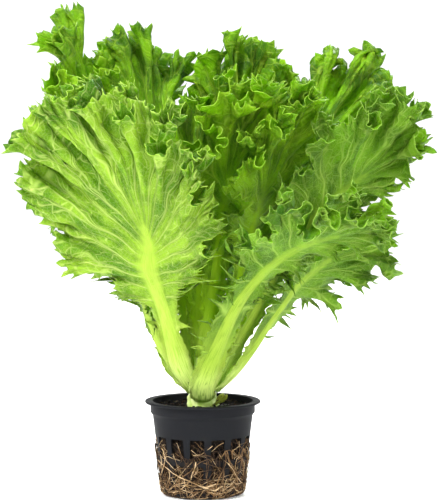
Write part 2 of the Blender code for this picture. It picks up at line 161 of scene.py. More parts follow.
studio = dict(
    tent=("#ffffff", 0.3),
    paper="#ffffff", paperRoughness=0.9, paperGlow=0.18,
    bowl=dict(floor=2.8, rounding=0.9, height=2.4, steps=72),  # stands round the camera too
    lights=(
        # name, place, width, watts: each looks at the middle of the leaves
        ("keyLight", (-0.75, -0.85, 1.05), 0.3, 22),
        ("backLight", (0.3, 0.95, 0.95), 0.5, 14),
        ("topLight", (-0.1, -0.05, 1.3), 0.4, 8),
        ("lowLight", (0.75, -0.8, 0.3), 0.5, 3),
        ("frontLight", (0.03, -1.15, 0.14), 0.3, 2),
        ("paperLight", (0, -0.2, 2.6), 1.6, 36),
    ),
    aim=(0, 0, 0.14),
)


def makeStudio():
    world = bpy.data.worlds.new("tent")
    bpy.context.scene.world = world
    world.use_nodes = True
    colour, strength = studio["tent"]
    tent = world.node_tree.nodes["Background"]
    tent.inputs["Color"].default_value = linearColour(colour)
    tent.inputs["Strength"].default_value = strength
    for name, place, width, watts in studio["lights"]:
        light = bpy.data.lights.new(name, "AREA")
        light.shape = "DISK"
        light.size = width
        light.energy = watts
        aimAt(newObject(name, light), place, studio["aim"])
    bowl = studio["bowl"]
    corner = arcOf((bowl["floor"], bowl["rounding"]), bowl["rounding"], -90, 0, 17)
    profile = [(0, 0), *corner, (bowl["floor"] + bowl["rounding"], bowl["height"])]
    floor = newObject("floor", meshFrom("floor", turnedMesh(profile, bowl["steps"])))
    # matt seamless paper under and all round the plant, lit from behind
    paper, tree = newMaterial("paper")
    white = linearColour(studio["paper"])
    skin = addNode(tree, "BsdfPrincipled", {
        "Base Color": white, "Roughness": studio["paperRoughness"],
        "Emission Color": white, "Emission Strength": studio["paperGlow"],
    })
    addNode(tree, "OutputMaterial", {0: skin})
    floor.data.materials.append(paper)
    print("studio made")


# Leaves: the same smooth blades as the solids have, with every frill, tooth and vein added.
# A leaf is a fan of rays from its rib to its margin. Plain lengths are in millimetres and turns
# in degrees.

stemShape = dict(  # radius and height
    profile=((0, 34), (7.2, 36), (7.8, 44), (7.6, 50), (6.6, 56), (5.2, 66), (3.4, 76), (0, 80)),
)

blade = dict(
    veinAngles=(0, 24, 48, 70, 80, 55),
    veinRoots=(1, 0.97, 0.88, 0.74, 0.54, 0),
    ribEdge=0.06,
    ribTurn=12,
    ribSteps=24,
    ribTaper=0.72,
    ribThickness=3.4 * mm,
    widestRib=14,
    thickness=0.45 * mm,
    marginThickness=0.24 * mm,
    thinning=(0.8, 1),  # the blade thins towards its margin between these rows
    clear=0.35 * mm,
)
knots = (0, blade["ribEdge"], 0.45, 0.79, 1)  # rows of the coarse grid, from rib to margin

nesting = dict(
    petioleGap=3.6 * mm,
    bladeGap=7.6 * mm,
    gapHeights=(70 * mm, 130 * mm),
    passes=2,
    blurs=8,
    limit=30 * mm,
    feel=4 * mm,
    heldHeight=14 * mm,
)

# Broad pleats: height, at most this share of the reach and of the room beside the leaf, rays to
# a pleat, and how much a finer wave adds
pleats = dict(
    height=10 * mm, share=0.3, rays=4, room=0.38, spare=1.5 * mm, facing=0.4,
    shift=1.3, finer=0.4, finerTurn=1.7, ends=5, rise=(0.2, 1),
)

leafUsual = dict(
    rib=8, sweep=0, roll=0, fan=0.9, curl=0.25, cup=0.2, rays=44,
    veins=10, look="inner", curls=0.3, spikes=1,
    stretch=0.06,  # what the folds take up of the reach is given back
    spacing=0.27 * mm,  # of the fine rays along the smooth margin
)

# From the heart outwards; the right wing is like the left one unless it is given
leaves = (
    dict(name="leaf_heart", azimuth=250, root=76, length=60, leans=(8, 4, 6),
         left=(24, 22, 18, 7, 1), tip=28,
         rib=5, sweep=30, fan=0.8, curl=0.1, cup=1.2, rays=24, veins=7),
    dict(name="leaf_inner_back", azimuth=118, root=74, length=92, leans=(14, 8, 10),
         left=(36, 32, 26, 8, 1), tip=42,
         rib=6, sweep=-20, fan=0.8, curl=0.15, cup=0.8, rays=32, veins=8),
    dict(name="leaf_inner_front", azimuth=-76, root=72, length=98, leans=(16, 10, 14),
         left=(46, 42, 32, 8, 1), tip=48,
         sweep=34, curl=0.1, cup=0.5, rays=40, stretch=0.12),
    dict(name="leaf_tall_centre", azimuth=70, root=70, length=116, leans=(18, 10, 13),
         left=(50, 46, 38, 10, 1), tip=54,
         sweep=-15, fan=0.85, cup=0.35, rays=42, stretch=0.13),
    dict(name="leaf_inner_right", azimuth=-42, root=68, length=102, leans=(24, 19, 24),
         left=(48, 42, 34, 10, 1), tip=52,
         sweep=6, cup=0.3, rays=42),
    dict(name="leaf_crown_left", azimuth=122, root=66, length=126, leans=(22, 14, 18),
         left=(52, 48, 40, 10, 1), tip=60,
         sweep=6, curl=0.3, cup=0.3, stretch=0.13),
    dict(name="leaf_tip_left", azimuth=156, root=62.5, length=137.5, leans=(26, 19, 20),
         left=(38, 32, 28, 10, 1), tip=64, right=(48, 36, 32, 10, 1),
         sweep=-4, curl=0.15, cup=0.25, stretch=0.14),
    dict(name="leaf_crown_right", azimuth=32, root=65, length=135, leans=(28, 26, 38),
         left=(48, 42, 36, 12, 1), tip=62, right=(60, 52, 42, 12, 1),
         rib=9, roll=35, stretch=0.12),
    dict(name="leaf_fan_right", azimuth=-18, root=58, length=135, leans=(30, 31, 56),
         left=(54, 52, 40, 12, 1), tip=36, right=(28, 26, 22, 10, 1),
         rib=9, sweep=4, roll=-50, fan=0.95, curl=0.1, look="outer"),
    dict(name="leaf_back", azimuth=96, root=59, length=108, leans=(32, 32, 42),
         left=(56, 52, 42, 12, 1), tip=58,
         rib=9, sweep=4, fan=0.95, curl=0.35),
    dict(name="leaf_low_left", azimuth=181, root=58, length=72, leans=(26, 32, 38),
         left=(36, 34, 26, 12, 3), tip=34, right=(28, 22, 16, 10, 3),
         sweep=4, roll=15, fan=1, curl=0.2, cup=0.1, rays=40, look="sunlit", spikes=1.8),
    dict(name="leaf_front_left", azimuth=-127, root=55, length=94, leans=(34, 24, 18),
         left=(84, 86, 50, 8, 1), tip=76, right=(70, 62, 42, 8, 1),
         rib=11, fan=1, curl=0.12, cup=0.1, rays=54, veins=13, look="sunlit", spikes=1.3,
         stretch=0.02),
    dict(name="leaf_low_right", azimuth=-10, root=55, length=92, leans=(28, 42, 54),
         left=(36, 34, 28, 12, 3), tip=36, right=(38, 38, 34, 18, 5),
         rib=9, sweep=6, roll=-40, fan=1, curl=0.2, cup=0.1, rays=40, look="outer", spikes=1.6),
    dict(name="leaf_low_back", azimuth=56, root=53, length=104, leans=(30, 38, 50),
         left=(48, 44, 32, 10, 1), tip=48,
         rib=9, sweep=6, fan=1, curl=0.3, cup=0.1, rays=40, look="outer"),
    dict(name="leaf_low_back_left", azimuth=132, root=53, length=104, leans=(28, 35, 48),
         left=(46, 40, 28, 9, 1), tip=48,
         rib=9, sweep=-4, fan=1, curl=0.3, cup=0.1, rays=40, look="outer"),
    dict(name="leaf_front_right", azimuth=-90, root=51, length=134, leans=(50, 31, 52, 80),
         left=(42, 50, 44, 14, 1), tip=28, right=(26, 20, 18, 10, 1),
         rib=11, sweep=60, roll=-25, fan=0.95, curl=0.15, cup=0.1, rays=46, veins=12,
         look="outer", spikes=1.4),
)


def stemRadius(height):
    profile = stemShape["profile"]
    for (r0, z0), (r1, z1) in zip(profile, profile[1:]):
        if z0 <= height / mm <= z1:
            return mm * (r0 + (r1 - r0) * (height / mm - z0) / (z1 - z0))
    return 0.0


def ribFrames(leaf):  # point, forward, outward and side directions at even steps along the rib
    height = leaf["root"] * mm
    steps = blade["ribSteps"]
    point = around(math.radians(leaf["azimuth"]), stemRadius(height) + blade["clear"], height)
    frames = []
    for step in range(steps + 1):
        u = step / steps
        azimuth = math.radians(leaf["azimuth"] + leaf["sweep"] * (1 - (1 - u) ** 3))
        lean = math.radians(along(leaf["leans"], u))
        away = around(azimuth, 1, 0)
        forward = away * math.sin(lean) + up * math.cos(lean)
        outward = away * math.cos(lean) - up * math.sin(lean)
        outward.rotate(Matrix.Rotation(math.radians(leaf["roll"]) * u, 3, forward))
        frames.append((point.copy(), forward, outward, outward.cross(forward)))
        point += forward * leaf["length"] * mm / steps
    return frames


def frameAt(frames, u):
    place = min(max(u, 0), 1) * blade["ribSteps"]
    first = min(int(place), blade["ribSteps"] - 1)
    return [a.lerp(b, place - first) for a, b in zip(frames[first], frames[first + 1])]


def bladePoint(leaf, frames, s, row):
    # s runs -1 to 1 round the margin, row 0 to 1 from rib to margin
    station, edge = abs(s), blade["ribEdge"]
    u = along(blade["veinRoots"], station)
    angle = math.radians(along(blade["veinAngles"], station) * leaf["fan"])
    reach = along((leaf["tip"], *(leaf["left"] if s > 0 else leaf["right"])), station) * mm
    halfRib = 0.5 * mm * leaf["rib"] * (1 - blade["ribTaper"] * u) if row else 0
    edgeAngle = math.pi / 2 * (1 - (1 - station) ** blade["ribTurn"])
    distance = reach * (row - edge) / (1 - edge) if row else 0
    ahead = halfRib * math.cos(edgeAngle) + distance * math.cos(angle)
    aside = halfRib * math.sin(edgeAngle) + distance * math.sin(angle)
    root, forward, outward, side = frameAt(frames, u)
    bend = (leaf["curl"] * distance**2 - leaf["cup"] * aside**2) / (100 * mm)
    return root + forward * ahead + side * math.copysign(aside, s) + outward * bend


def smoothGrid(leaf):
    frames = ribFrames(leaf)
    shares = [2 * i / leaf["rays"] - 1 for i in range(leaf["rays"] + 1)]
    return [[bladePoint(leaf, frames, s, row) for row in knots] for s in shares]


def gridTree(grid):
    rows = len(knots)
    points = [point for ray in grid for point in ray]
    corners = [i * rows + j for i in range(len(grid) - 1) for j in range(rows - 1)]
    return BVHTree.FromPolygons(points, [(k, k + 1, k + rows + 1, k + rows) for k in corners])


def needOutwards(point, innerTrees):
    # how far a point must move out to lie outside the inner leaves
    away = awayFromAxis(point)
    across = up.cross(away)
    low, high = nesting["petioleGap"], nesting["bladeGap"]
    room = low + (high - low) * float(smoothStep(*nesting["gapHeights"], point.z))
    limit = nesting["limit"]
    span = limit + math.hypot(point.x, point.y)
    need = 0.0
    for aside, rise in ((0, 0), (1, 0), (-1, 0), (0, 1), (0, -1)):
        start = point + away * limit + (across * aside + up * rise) * nesting["feel"]
        for tree in innerTrees:
            distance = tree.ray_cast(start, -away, span)[3]
            if distance is not None:
                need = max(need, limit - distance + room)
    return need


def spread(field, mix):  # each value mixed with those next to it; both wings keep one rib
    last, end = len(field) - 1, len(knots) - 1
    made = []
    for i, ray in enumerate(field):
        before, after = field[max(i - 1, 0)], field[min(i + 1, last)]
        inwards, outwards = [ray[0], *ray[:-1]], [*ray[1:], ray[end]]
        beside = zip(before, after, inwards, outwards)
        made.append([mix(value, near) for value, near in zip(ray, beside)])
    for i in range(last + 1):
        made[i][0] = max(made[i][0], made[last - i][0])
        made[last - i][0] = made[i][0]
    return made


def bendClear(leaf, grid, innerTrees):
    for _ in range(nesting["passes"]):
        needs = [[needOutwards(point, innerTrees) for point in ray] for ray in grid]
        needs = spread(needs, lambda value, near: max(value, *near))
        for _ in range(nesting["blurs"]):
            needs = spread(needs, lambda value, near: (2 * value + sum(near)) / 6)
        for ray, rayNeeds in zip(grid, needs):
            for point, need in zip(ray, rayNeeds):
                free = float(smoothStep(0, nesting["heldHeight"], point.z - leaf["root"] * mm))
                point += awayFromAxis(point) * need * free


def outwardNormal(grid, i, j):
    ray = grid[i]
    across = grid[min(i + 1, len(grid) - 1)][j] - grid[max(i - 1, 0)][j]
    marginWard = ray[min(j + 1, len(ray) - 1)] - ray[max(j - 1, 0)]
    return marginWard.cross(across).normalized()


def roomBeside(point, normal, trees):  # free distance on the outer and the inner side
    outer = inner = 1.0
    for tree in trees:
        near, _, _, distance = tree.find_nearest(point)
        side = (near - point).dot(normal) / max(distance, mm)
        if side > -pleats["facing"]:
            outer = min(outer, distance)
        if side < pleats["facing"]:
            inner = min(inner, distance)
    return outer, inner


# Fine blades

fine = dict(
    rows=(0, 0.02, 0.04, 0.06, 0.11, 0.19, 0.29, 0.4, 0.5, 0.59, 0.66, 0.72, 0.77, 0.815,
          0.853, 0.885, 0.913, 0.938, 0.96, 0.98, 1),
    ends=(16, 10, 5),  # every second ray starts at the first of these rows, and so on
    mostRays=1760, seed=100,
    draft=3,  # folds are worked out on this many times as many rays
    evenness=0.8,  # how far the rays are spaced evenly along the folded margin
)

# Ruffles from coarse to fine: wave length along the margin, height, where they start between
# rib and margin, how far they fold over, and how unevenly they follow each other
ruffles = (
    dict(length=17 * mm, height=4.6 * mm, start=0.42, fold=0.12, wander=0.35),
    dict(length=8 * mm, height=1.8 * mm, start=0.68, fold=0.1, wander=0.4),
)
ruffleGrowth = dict(power=0.6, steepness=1.6, highest=0.34, sway=0.45, lean=2)
margin = dict(
    # lobes and teeth: the rays from one tip to the next, depth, how much it varies, and sharpness
    lobe=(30, 60), lobeDepth=4.5 * mm, lobeSway=0.6, lobePoint=1.5,
    tooth=(4, 10), toothDepth=3.2 * mm, toothSway=0.7, toothPoint=1.8,
    lowTooth=0.6,  # how much deeper the teeth are in the spikes' zone
    cutReach=(2 * mm, 14 * mm), share=0.42,  # short rays are cut back less
    # spikes: where they begin, are full, fade and end round the margin, how few there are, length
    spikeZone=(0.58, 0.72, 0.88, 0.95), rarity=0.35, spike=9 * mm, spikeReach=1.3, spikePoint=1.4,
    stretchZone=(0.4, 0.7),
    # degrees that the margin rolls out, how much that changes along it, and the width that rolls
    roll=66, rollDrift=0.6, rollSway=24, rollZone=14 * mm, rollReach=(4 * mm, 20 * mm),
)

blisters = dict(waves=9, lengths=(8 * mm, 15 * mm), height=0.75 * mm, rise=(0.12, 0.7))


def smoothNoise(draw, places):
    # smooth random values, -1 to 1, with a new one at each whole place
    low = math.floor(places.min()) - 1
    values = np.array([draw.uniform(-1, 1) for _ in range(int(places.max()) - low + 4)])
    first = np.floor(places).astype(int) - low
    f = smoothStep(0, 1, places - np.floor(places))
    return values[first] * (1 - f) + values[first + 1] * f


def resample(field, places):  # smooth values of a field of rays at fractional rays
    last = len(field) - 1
    first = np.clip(places.astype(int), 0, last - 1)
    f = (places - first).reshape(-1, *[1] * (field.ndim - 1))
    before, a = field[np.maximum(first - 1, 0)], field[first]
    b, after = field[first + 1], field[np.minimum(first + 2, last)]
    bend = 2 * before - 5 * a + 4 * b - after + f * (3 * (a - b) + after - before)
    return a + 0.5 * f * (b - before + f * bend)


def acrossRows(rays, rows):  # smooth rays through the coarse knots, straight inside the rib
    place = np.array(knots[1:])
    slopes = np.diff(rays[:, 1:], axis=1) / np.diff(place)[None, :, None]
    inner = (slopes[:, :-1] + slopes[:, 1:]) / 2
    tangents = np.concatenate([slopes[:, :1], inner, slopes[:, -1:]], axis=1)
    made = []
    for row in rows:
        if row <= knots[1]:
            made.append(rays[:, 0] + (rays[:, 1] - rays[:, 0]) * row / knots[1])
            continue
        k = min(np.searchsorted(place, row, side="right") - 1, len(place) - 2)
        width = place[k + 1] - place[k]
        f = (row - place[k]) / width
        a, b = rays[:, k + 1], rays[:, k + 2]
        ta, tb = tangents[:, k] * width, tangents[:, k + 1] * width
        made.append(a + f * (ta + f * (3 * (b - a) - 2 * ta - tb + f * (2 * (a - b) + ta + tb))))
    return np.stack(made, axis=1)


def cutBack(points, rows, shares):
    # each ray taken only as far as its share, or straight on past its end
    ray = np.arange(len(points))[:, None]
    k = np.clip(np.searchsorted(rows, shares, side="right") - 1, 0, len(rows) - 2)
    f = ((shares - rows[k]) / (rows[k + 1] - rows[k]))[..., None]
    return points[ray, k] * (1 - f) + points[ray, k + 1] * f


def unit(vectors):
    return vectors / np.maximum(np.linalg.norm(vectors, axis=-1, keepdims=True), 1e-12)


def directions(points):  # outward normal, and direction along the margin, at each point
    across = np.gradient(points, axis=0)
    marginWard = np.gradient(points, axis=1)
    return unit(np.cross(marginWard, across)), unit(across)


def arcAlong(points, stride=1):
    # distance along the margin, over its fine folds where the stride is long
    last = len(points) - 1
    picked = sorted({*range(0, last, stride), last})
    steps = np.linalg.norm(np.diff(points[picked, -1], axis=0), axis=1)
    return np.interp(range(last + 1), picked, np.concatenate([[0], np.cumsum(steps)]))


def tipPlaces(draw, count, spacing):
    # a running count of the tips passed, whole at each tip, and at the tip of the leaf
    tips = [count // 2]
    while tips[-1] < count:
        tips.append(tips[-1] + draw.randint(*spacing))
    while tips[0] > 0:
        tips.insert(0, tips[0] - draw.randint(*spacing))
    return np.interp(np.arange(count), tips, np.arange(len(tips)))


def valleys(places, sharpness):  # 0 at a tip, 1 halfway to the next
    return 1 - (1 - 2 * np.abs(places - np.round(places))) ** sharpness


def marginCut(leaf, draw, stations, reach):
    # how far the margin is cut back at each ray: lobes, teeth, and thin spikes near the petiole
    count, (begin, full, fade, end) = len(stations), margin["spikeZone"]
    low = smoothStep(begin, full, stations) * (1 - smoothStep(fade, end, stations))
    places = tipPlaces(draw, count, margin["lobe"])
    depth = margin["lobeDepth"] * (1 + margin["lobeSway"] * smoothNoise(draw, places))
    cut = depth * valleys(places, margin["lobePoint"])
    places = tipPlaces(draw, count, margin["tooth"])
    depth = margin["toothDepth"] * (1 + margin["toothSway"] * smoothNoise(draw, places))
    between = valleys(places, margin["toothPoint"])
    cut = cut + depth * (1 + margin["lowTooth"] * low) * between
    cut = np.minimum(cut * smoothStep(*margin["cutReach"], reach), margin["share"] * reach)
    # one value for each tooth says whether it is a spike
    strong = np.clip(2 * smoothNoise(draw, np.round(places)) - margin["rarity"], 0, 1)
    longest = low * np.minimum(leaf["spikes"] * margin["spike"], margin["spikeReach"] * reach)
    stretch = leaf["stretch"] * reach * (1 - smoothStep(*margin["stretchZone"], stations))
    return cut - stretch - longest * strong * (1 - between) ** margin["spikePoint"]


def bendRays(points, like, tilt, sway):
    # each ray bends like a thin strip: it keeps its length while it tilts out from the like
    # surface and sideways
    normal, tangent = directions(like)
    ahead = unit(np.gradient(points, axis=1))
    steps = np.linalg.norm(np.diff(points, axis=1), axis=2)[..., None]
    tilt, sway = [((v[:, 1:] + v[:, :-1]) / 2)[..., None] for v in (tilt, sway)]
    ahead, normal, tangent = [unit(v[:, 1:] + v[:, :-1]) for v in (ahead, normal, tangent)]
    flat = ahead * np.cos(sway) + tangent * np.sin(sway)
    turned = unit(flat * np.cos(tilt) + normal * np.sin(tilt))
    start = points[:, :1]
    return np.concatenate([start, start + np.cumsum(steps * turned, axis=1)], axis=1)


def ruffle(points, rows, reach, wave, draw):
    beat = arcAlong(points, 12) / wave["length"]
    phase = math.tau * (beat + wave["wander"] * smoothNoise(draw, beat * 0.7))
    grow = ruffleGrowth
    size = wave["height"] * (1 + grow["sway"] * smoothNoise(draw, beat * 0.5))
    length = reach * (1 - wave["start"])
    share = np.clip((rows - wave["start"]) / (1 - wave["start"]), 0, 1)[None, :] ** grow["power"]
    slope = np.minimum(size, grow["highest"] * length) / np.maximum(length, mm)
    slope = grow["steepness"] * slope[:, None] * share
    lean = grow["lean"] * smoothNoise(draw, beat * 0.3)
    turn = phase[:, None] + (1 - rows)[None, :] * lean[:, None]
    fold = wave["fold"] * wave["length"] / np.maximum(length, mm)[:, None] * share
    return bendRays(points, points, slope * np.sin(turn), -fold * np.sin(2 * turn)), phase


def rollMargin(points, like, rows, reach, phase, curls, draw):
    # the margin rolls out over the crests of the ruffles, and stands up between them
    drift = margin["rollDrift"] * smoothNoise(draw, phase / math.tau * 0.37)
    turn = margin["roll"] * (curls + drift) + margin["rollSway"] * np.sin(phase)
    turn = np.radians(turn)[:, None]
    first = 1 - np.minimum(margin["rollZone"] / np.maximum(reach, mm), 0.4)[:, None]
    grow = smoothStep(0, 1, (rows[None, :] - first) / (1.02 - first))
    grow = grow * smoothStep(*margin["rollReach"], reach)[:, None]
    return bendRays(points, like, turn * grow, 0 * grow)


def crumple(points, rows, draw):
    # blisters between the veins: a few waves through space, in all directions
    swell = np.zeros(points.shape[:2])
    for _ in range(blisters["waves"]):
        wave = np.array([draw.gauss(0, 1) for _ in range(3)])
        wave *= math.tau / (draw.uniform(*blisters["lengths"]) * np.linalg.norm(wave))
        swell += np.sin(points @ wave + draw.uniform(0, math.tau))
    normal, _ = directions(points)
    height = blisters["height"] * swell / blisters["waves"] ** 0.5
    return points + normal * (height * smoothStep(*blisters["rise"], rows)[None, :])[..., None]


def pleat(leaf, index, places, rows, rooms, reach):
    # the broad pleats that the solid has
    phase = index * pleats["shift"]
    wave = np.sin(math.tau * places / pleats["rays"] + phase)
    wave = wave + pleats["finer"] * np.sin(pleats["finerTurn"] * places + 2 * phase)
    ends = np.minimum(1, np.minimum(places, leaf["rays"] - places) / pleats["ends"])
    highest = np.minimum(pleats["height"], pleats["share"] * reach)[:, None]
    rooms = [pleats["room"] * np.maximum(room - pleats["spare"], 0) for room in rooms]
    outer, inner = [np.minimum(highest, room) for room in rooms]
    swing = (outer - inner) / 2 + (outer + inner) / 2 * np.clip(wave, -1, 1)[:, None]
    return ends[:, None] * smoothStep(*pleats["rise"], rows)[None, :] * swing


def fineBlade(leaf, index, grid, others):
    draw = random.Random(fine["seed"] + index)
    coarse = np.array([[tuple(p) for p in ray] for ray in grid])
    rooms = np.array([
        [roomBeside(p, outwardNormal(grid, i, j), others) for j, p in enumerate(ray)]
        for i, ray in enumerate(grid)
    ])
    arc = arcAlong(coarse)
    arc = (arc + arc[-1] - arc[::-1]) / 2  # alike on both wings, so that they meet along the rib
    count = min(8 * round(arc[-1] / leaf["spacing"] / 8), fine["mostRays"])
    drafted = fine["draft"] * count
    places = np.interp(np.linspace(0, arc[-1], drafted + 1), arc, range(leaf["rays"] + 1))
    stations = np.abs(2 * places / leaf["rays"] - 1)
    rays = resample(coarse, places)
    reach = np.linalg.norm(rays[:, -1] - rays[:, 1], axis=1)
    rows = np.array(fine["rows"])
    points = acrossRows(rays, rows)
    roomRows = np.array([
        [np.interp(rows, knots, ray[:, side]) for ray in resample(rooms, places)] for side in (0, 1)
    ])
    normal, _ = directions(points)
    pleated = points + normal * pleat(leaf, index, places, rows, roomRows, reach)[..., None]
    points, phase = ruffle(pleated, rows, reach, ruffles[0], draw)
    points = rollMargin(points, pleated, rows, reach, phase, leaf["curls"], draw)
    points, _ = ruffle(points, rows, reach, ruffles[1], draw)
    arc = arcAlong(points)
    arc = fine["evenness"] * arc / arc[-1] + (1 - fine["evenness"]) * np.linspace(0, 1, drafted + 1)
    picked = np.interp(np.linspace(0, 1, count + 1), (arc + 1 - arc[::-1]) / 2, range(drafted + 1))
    points, stations, reach = [resample(field, picked) for field in (points, stations, reach)]
    points = crumple(points, rows, draw)
    cut = marginCut(leaf, draw, stations, reach) / np.maximum(reach, mm)
    shares = rows[None, :] - cut[:, None] * smoothStep(0.4, 1, rows)[None, :]
    return cutBack(points, rows, shares), stations, shares


def leafMesh(leaf, points, stations, shares):
    last, end = points.shape[0] - 1, points.shape[1] - 1
    bm = bmesh.new()
    bmesh.ops.create_grid(bm, x_segments=last, y_segments=end, size=1)
    bm.verts.ensure_lookup_table()
    flat = np.array([vert.co[:2] for vert in bm.verts])
    i = np.round((flat[:, 0] + 1) / 2 * last).astype(int)
    j = np.round((flat[:, 1] + 1) / 2 * end).astype(int)
    place = points[i, j]
    # across the veins, towards the margin, and away from the stem
    span = np.linalg.norm(place - points[0, 0], axis=1) / ((leaf["length"] + leaf["tip"]) * mm)
    wing = np.where(i > last / 2, 1, -1)
    layout = np.stack([wing * stations[i] * leaf["veins"], shares[i, j], span], axis=1)
    root = np.array([along(blade["veinRoots"], s) for s in stations])
    inRib = np.clip(1 - (shares[i, j] / knots[1]) ** 2, 0, 1) ** 0.5
    thick = inRib * (1 - root[i]) * leaf["rib"] / blade["widestRib"]
    flesh = (blade["thickness"] - blade["marginThickness"]) / blade["ribThickness"]
    thinner = smoothStep(*blade["thinning"], np.array(fine["rows"]))[j]
    thick = np.maximum(thick, flesh * (1 - thinner))
    weights = bm.verts.layers.deform.verify()
    veins = bm.verts.layers.float_vector.new("veins")
    for vert, spot, lines, share in zip(bm.verts, place.tolist(), layout.tolist(), thick.tolist()):
        vert.co = spot
        vert[veins] = lines
        vert[weights][0] = share
    table = {(a, b): vert for a, b, vert in zip(i.tolist(), j.tolist(), bm.verts)}
    spare = [
        bm.edges.get((table[a, b], table[a, b + 1]))
        for level, rowEnd in enumerate(fine["ends"])
        for a in range(2**level, last, 2 ** (level + 1)) for b in range(rowEnd)
    ]
    ribEnds = [table[a, 0] for a in range(last + 1)]
    bmesh.ops.dissolve_edges(bm, edges=spare, use_verts=True)
    ribEnds = [vert for vert in ribEnds if vert.is_valid]
    bmesh.ops.remove_doubles(bm, verts=ribEnds, dist=0.01 * mm)
    for face in bm.faces:
        face.smooth = True
    return meshFrom(leaf["name"], bm)


def makeLeaves():
    table = [{**leafUsual, "right": leaf["left"], **leaf} for leaf in leaves]
    grids = []
    for leaf in table:
        grid = smoothGrid(leaf)
        bendClear(leaf, grid, [gridTree(inner) for inner in grids])
        grids.append(grid)
    trees = [gridTree(grid) for grid in grids]
    looks = {name: leafFinishes(name, look) for name, look in leafLooks.items()}
    for index, (leaf, grid) in enumerate(zip(table, grids)):
        others = trees[:index] + trees[index + 1 :]
        points, stations, shares = fineBlade(leaf, index, grid, others)
        sheet = leafMesh(leaf, points, stations, shares)
        name = leaf["name"]
        made = newPiece(name + "_frilled", sheet, [name], "leaf", *looks[leaf["look"]])
        made.vertex_groups.new(name="rib")
        shell = made.modifiers.new("thickness", "SOLIDIFY")
        shell.thickness = blade["ribThickness"]
        shell.offset = -1
        shell.vertex_group = "rib"
        shell.thickness_vertex_group = blade["marginThickness"] / blade["ribThickness"]
        shell.material_offset = 1
        shell.material_offset_rim = 2
    print("leaves made")


# Leaf tissue: moist, thin and translucent, with pale branching veins.
# The upper side is smooth and deep green, the under side paler with raised veins.

# each look's margin colour tints the thin leaf edge pale, a painted highlight
leafLooks = dict(
    # sunlit is a lit copy of the tissue: its brighter yellow-green is painted light, for the leaves
    # that the light falls on
    sunlit=dict(
        upper=("#2e6204", "#72a80c"), under=("#4c8008", "#9cc62e"), vein="#e0f084",
        petiole="#c6de58", base="#e0f08c", margin="#a4c43a", glow="#b0e40c", through=0.38,
    ),
    inner=dict(
        upper=("#245202", "#86be0e"), under=("#447404", "#98c814"), vein="#c0de48",
        petiole="#a8d010", base="#d0e858", margin="#8cb42a", glow="#b2e804", through=0.46,
    ),
    outer=dict(
        upper=("#285a04", "#7cb40e"), under=("#3e680c", "#74a020"), vein="#b4d05c",
        petiole="#b6d048", base="#e4f690", margin="#90b436", glow="#a8e008", through=0.37,
    ),
)
tissue = dict(
    patch=18 * mm,  # size of the patches of deeper and lighter green
    streak=0.6,  # width of the streaks that follow the veins, in lanes between two main veins
    mottle=1.3 * mm,  # size of the finest mottling
    wander=24 * mm,  # how quickly the veins wander
    vein=(0.1, 0.018),  # half width of a main vein at the rib and at the margin, in lanes
    # a main vein and its two forks: where it parts, from and to, how far, its width and height
    forks=((0, 1, 0, 1, 1), (0.15, 0.8, 0.31, 0.6, 0.74), (0.35, 1, 0.13, 0.45, 0.68)),
    meshes=8, meshesAcross=4.5,  # side veins from rib to margin, and from one main vein to the next
    netCell=1.9 * mm,  # mesh of the finest veins
    sideVein=(0.07, 0.62), netVein=(0.09, 0.34),  # width in meshes, and height
    veinPaint=dict(upper=0.5, under=0.7),  # how much paler the veins are than the blade
    fibres=(190, 16),  # stripes of the rib, across and along
    pucker=4.5 * mm,  # size of the blisters between the veins
    relief=0.4 * mm, reliefs=(1.5, 1.8, 1.4),  # of blisters, veins and fibres
    marginPatch=4 * mm, roughness=dict(upper=0.42, under=0.52), sheen=0.22,
)


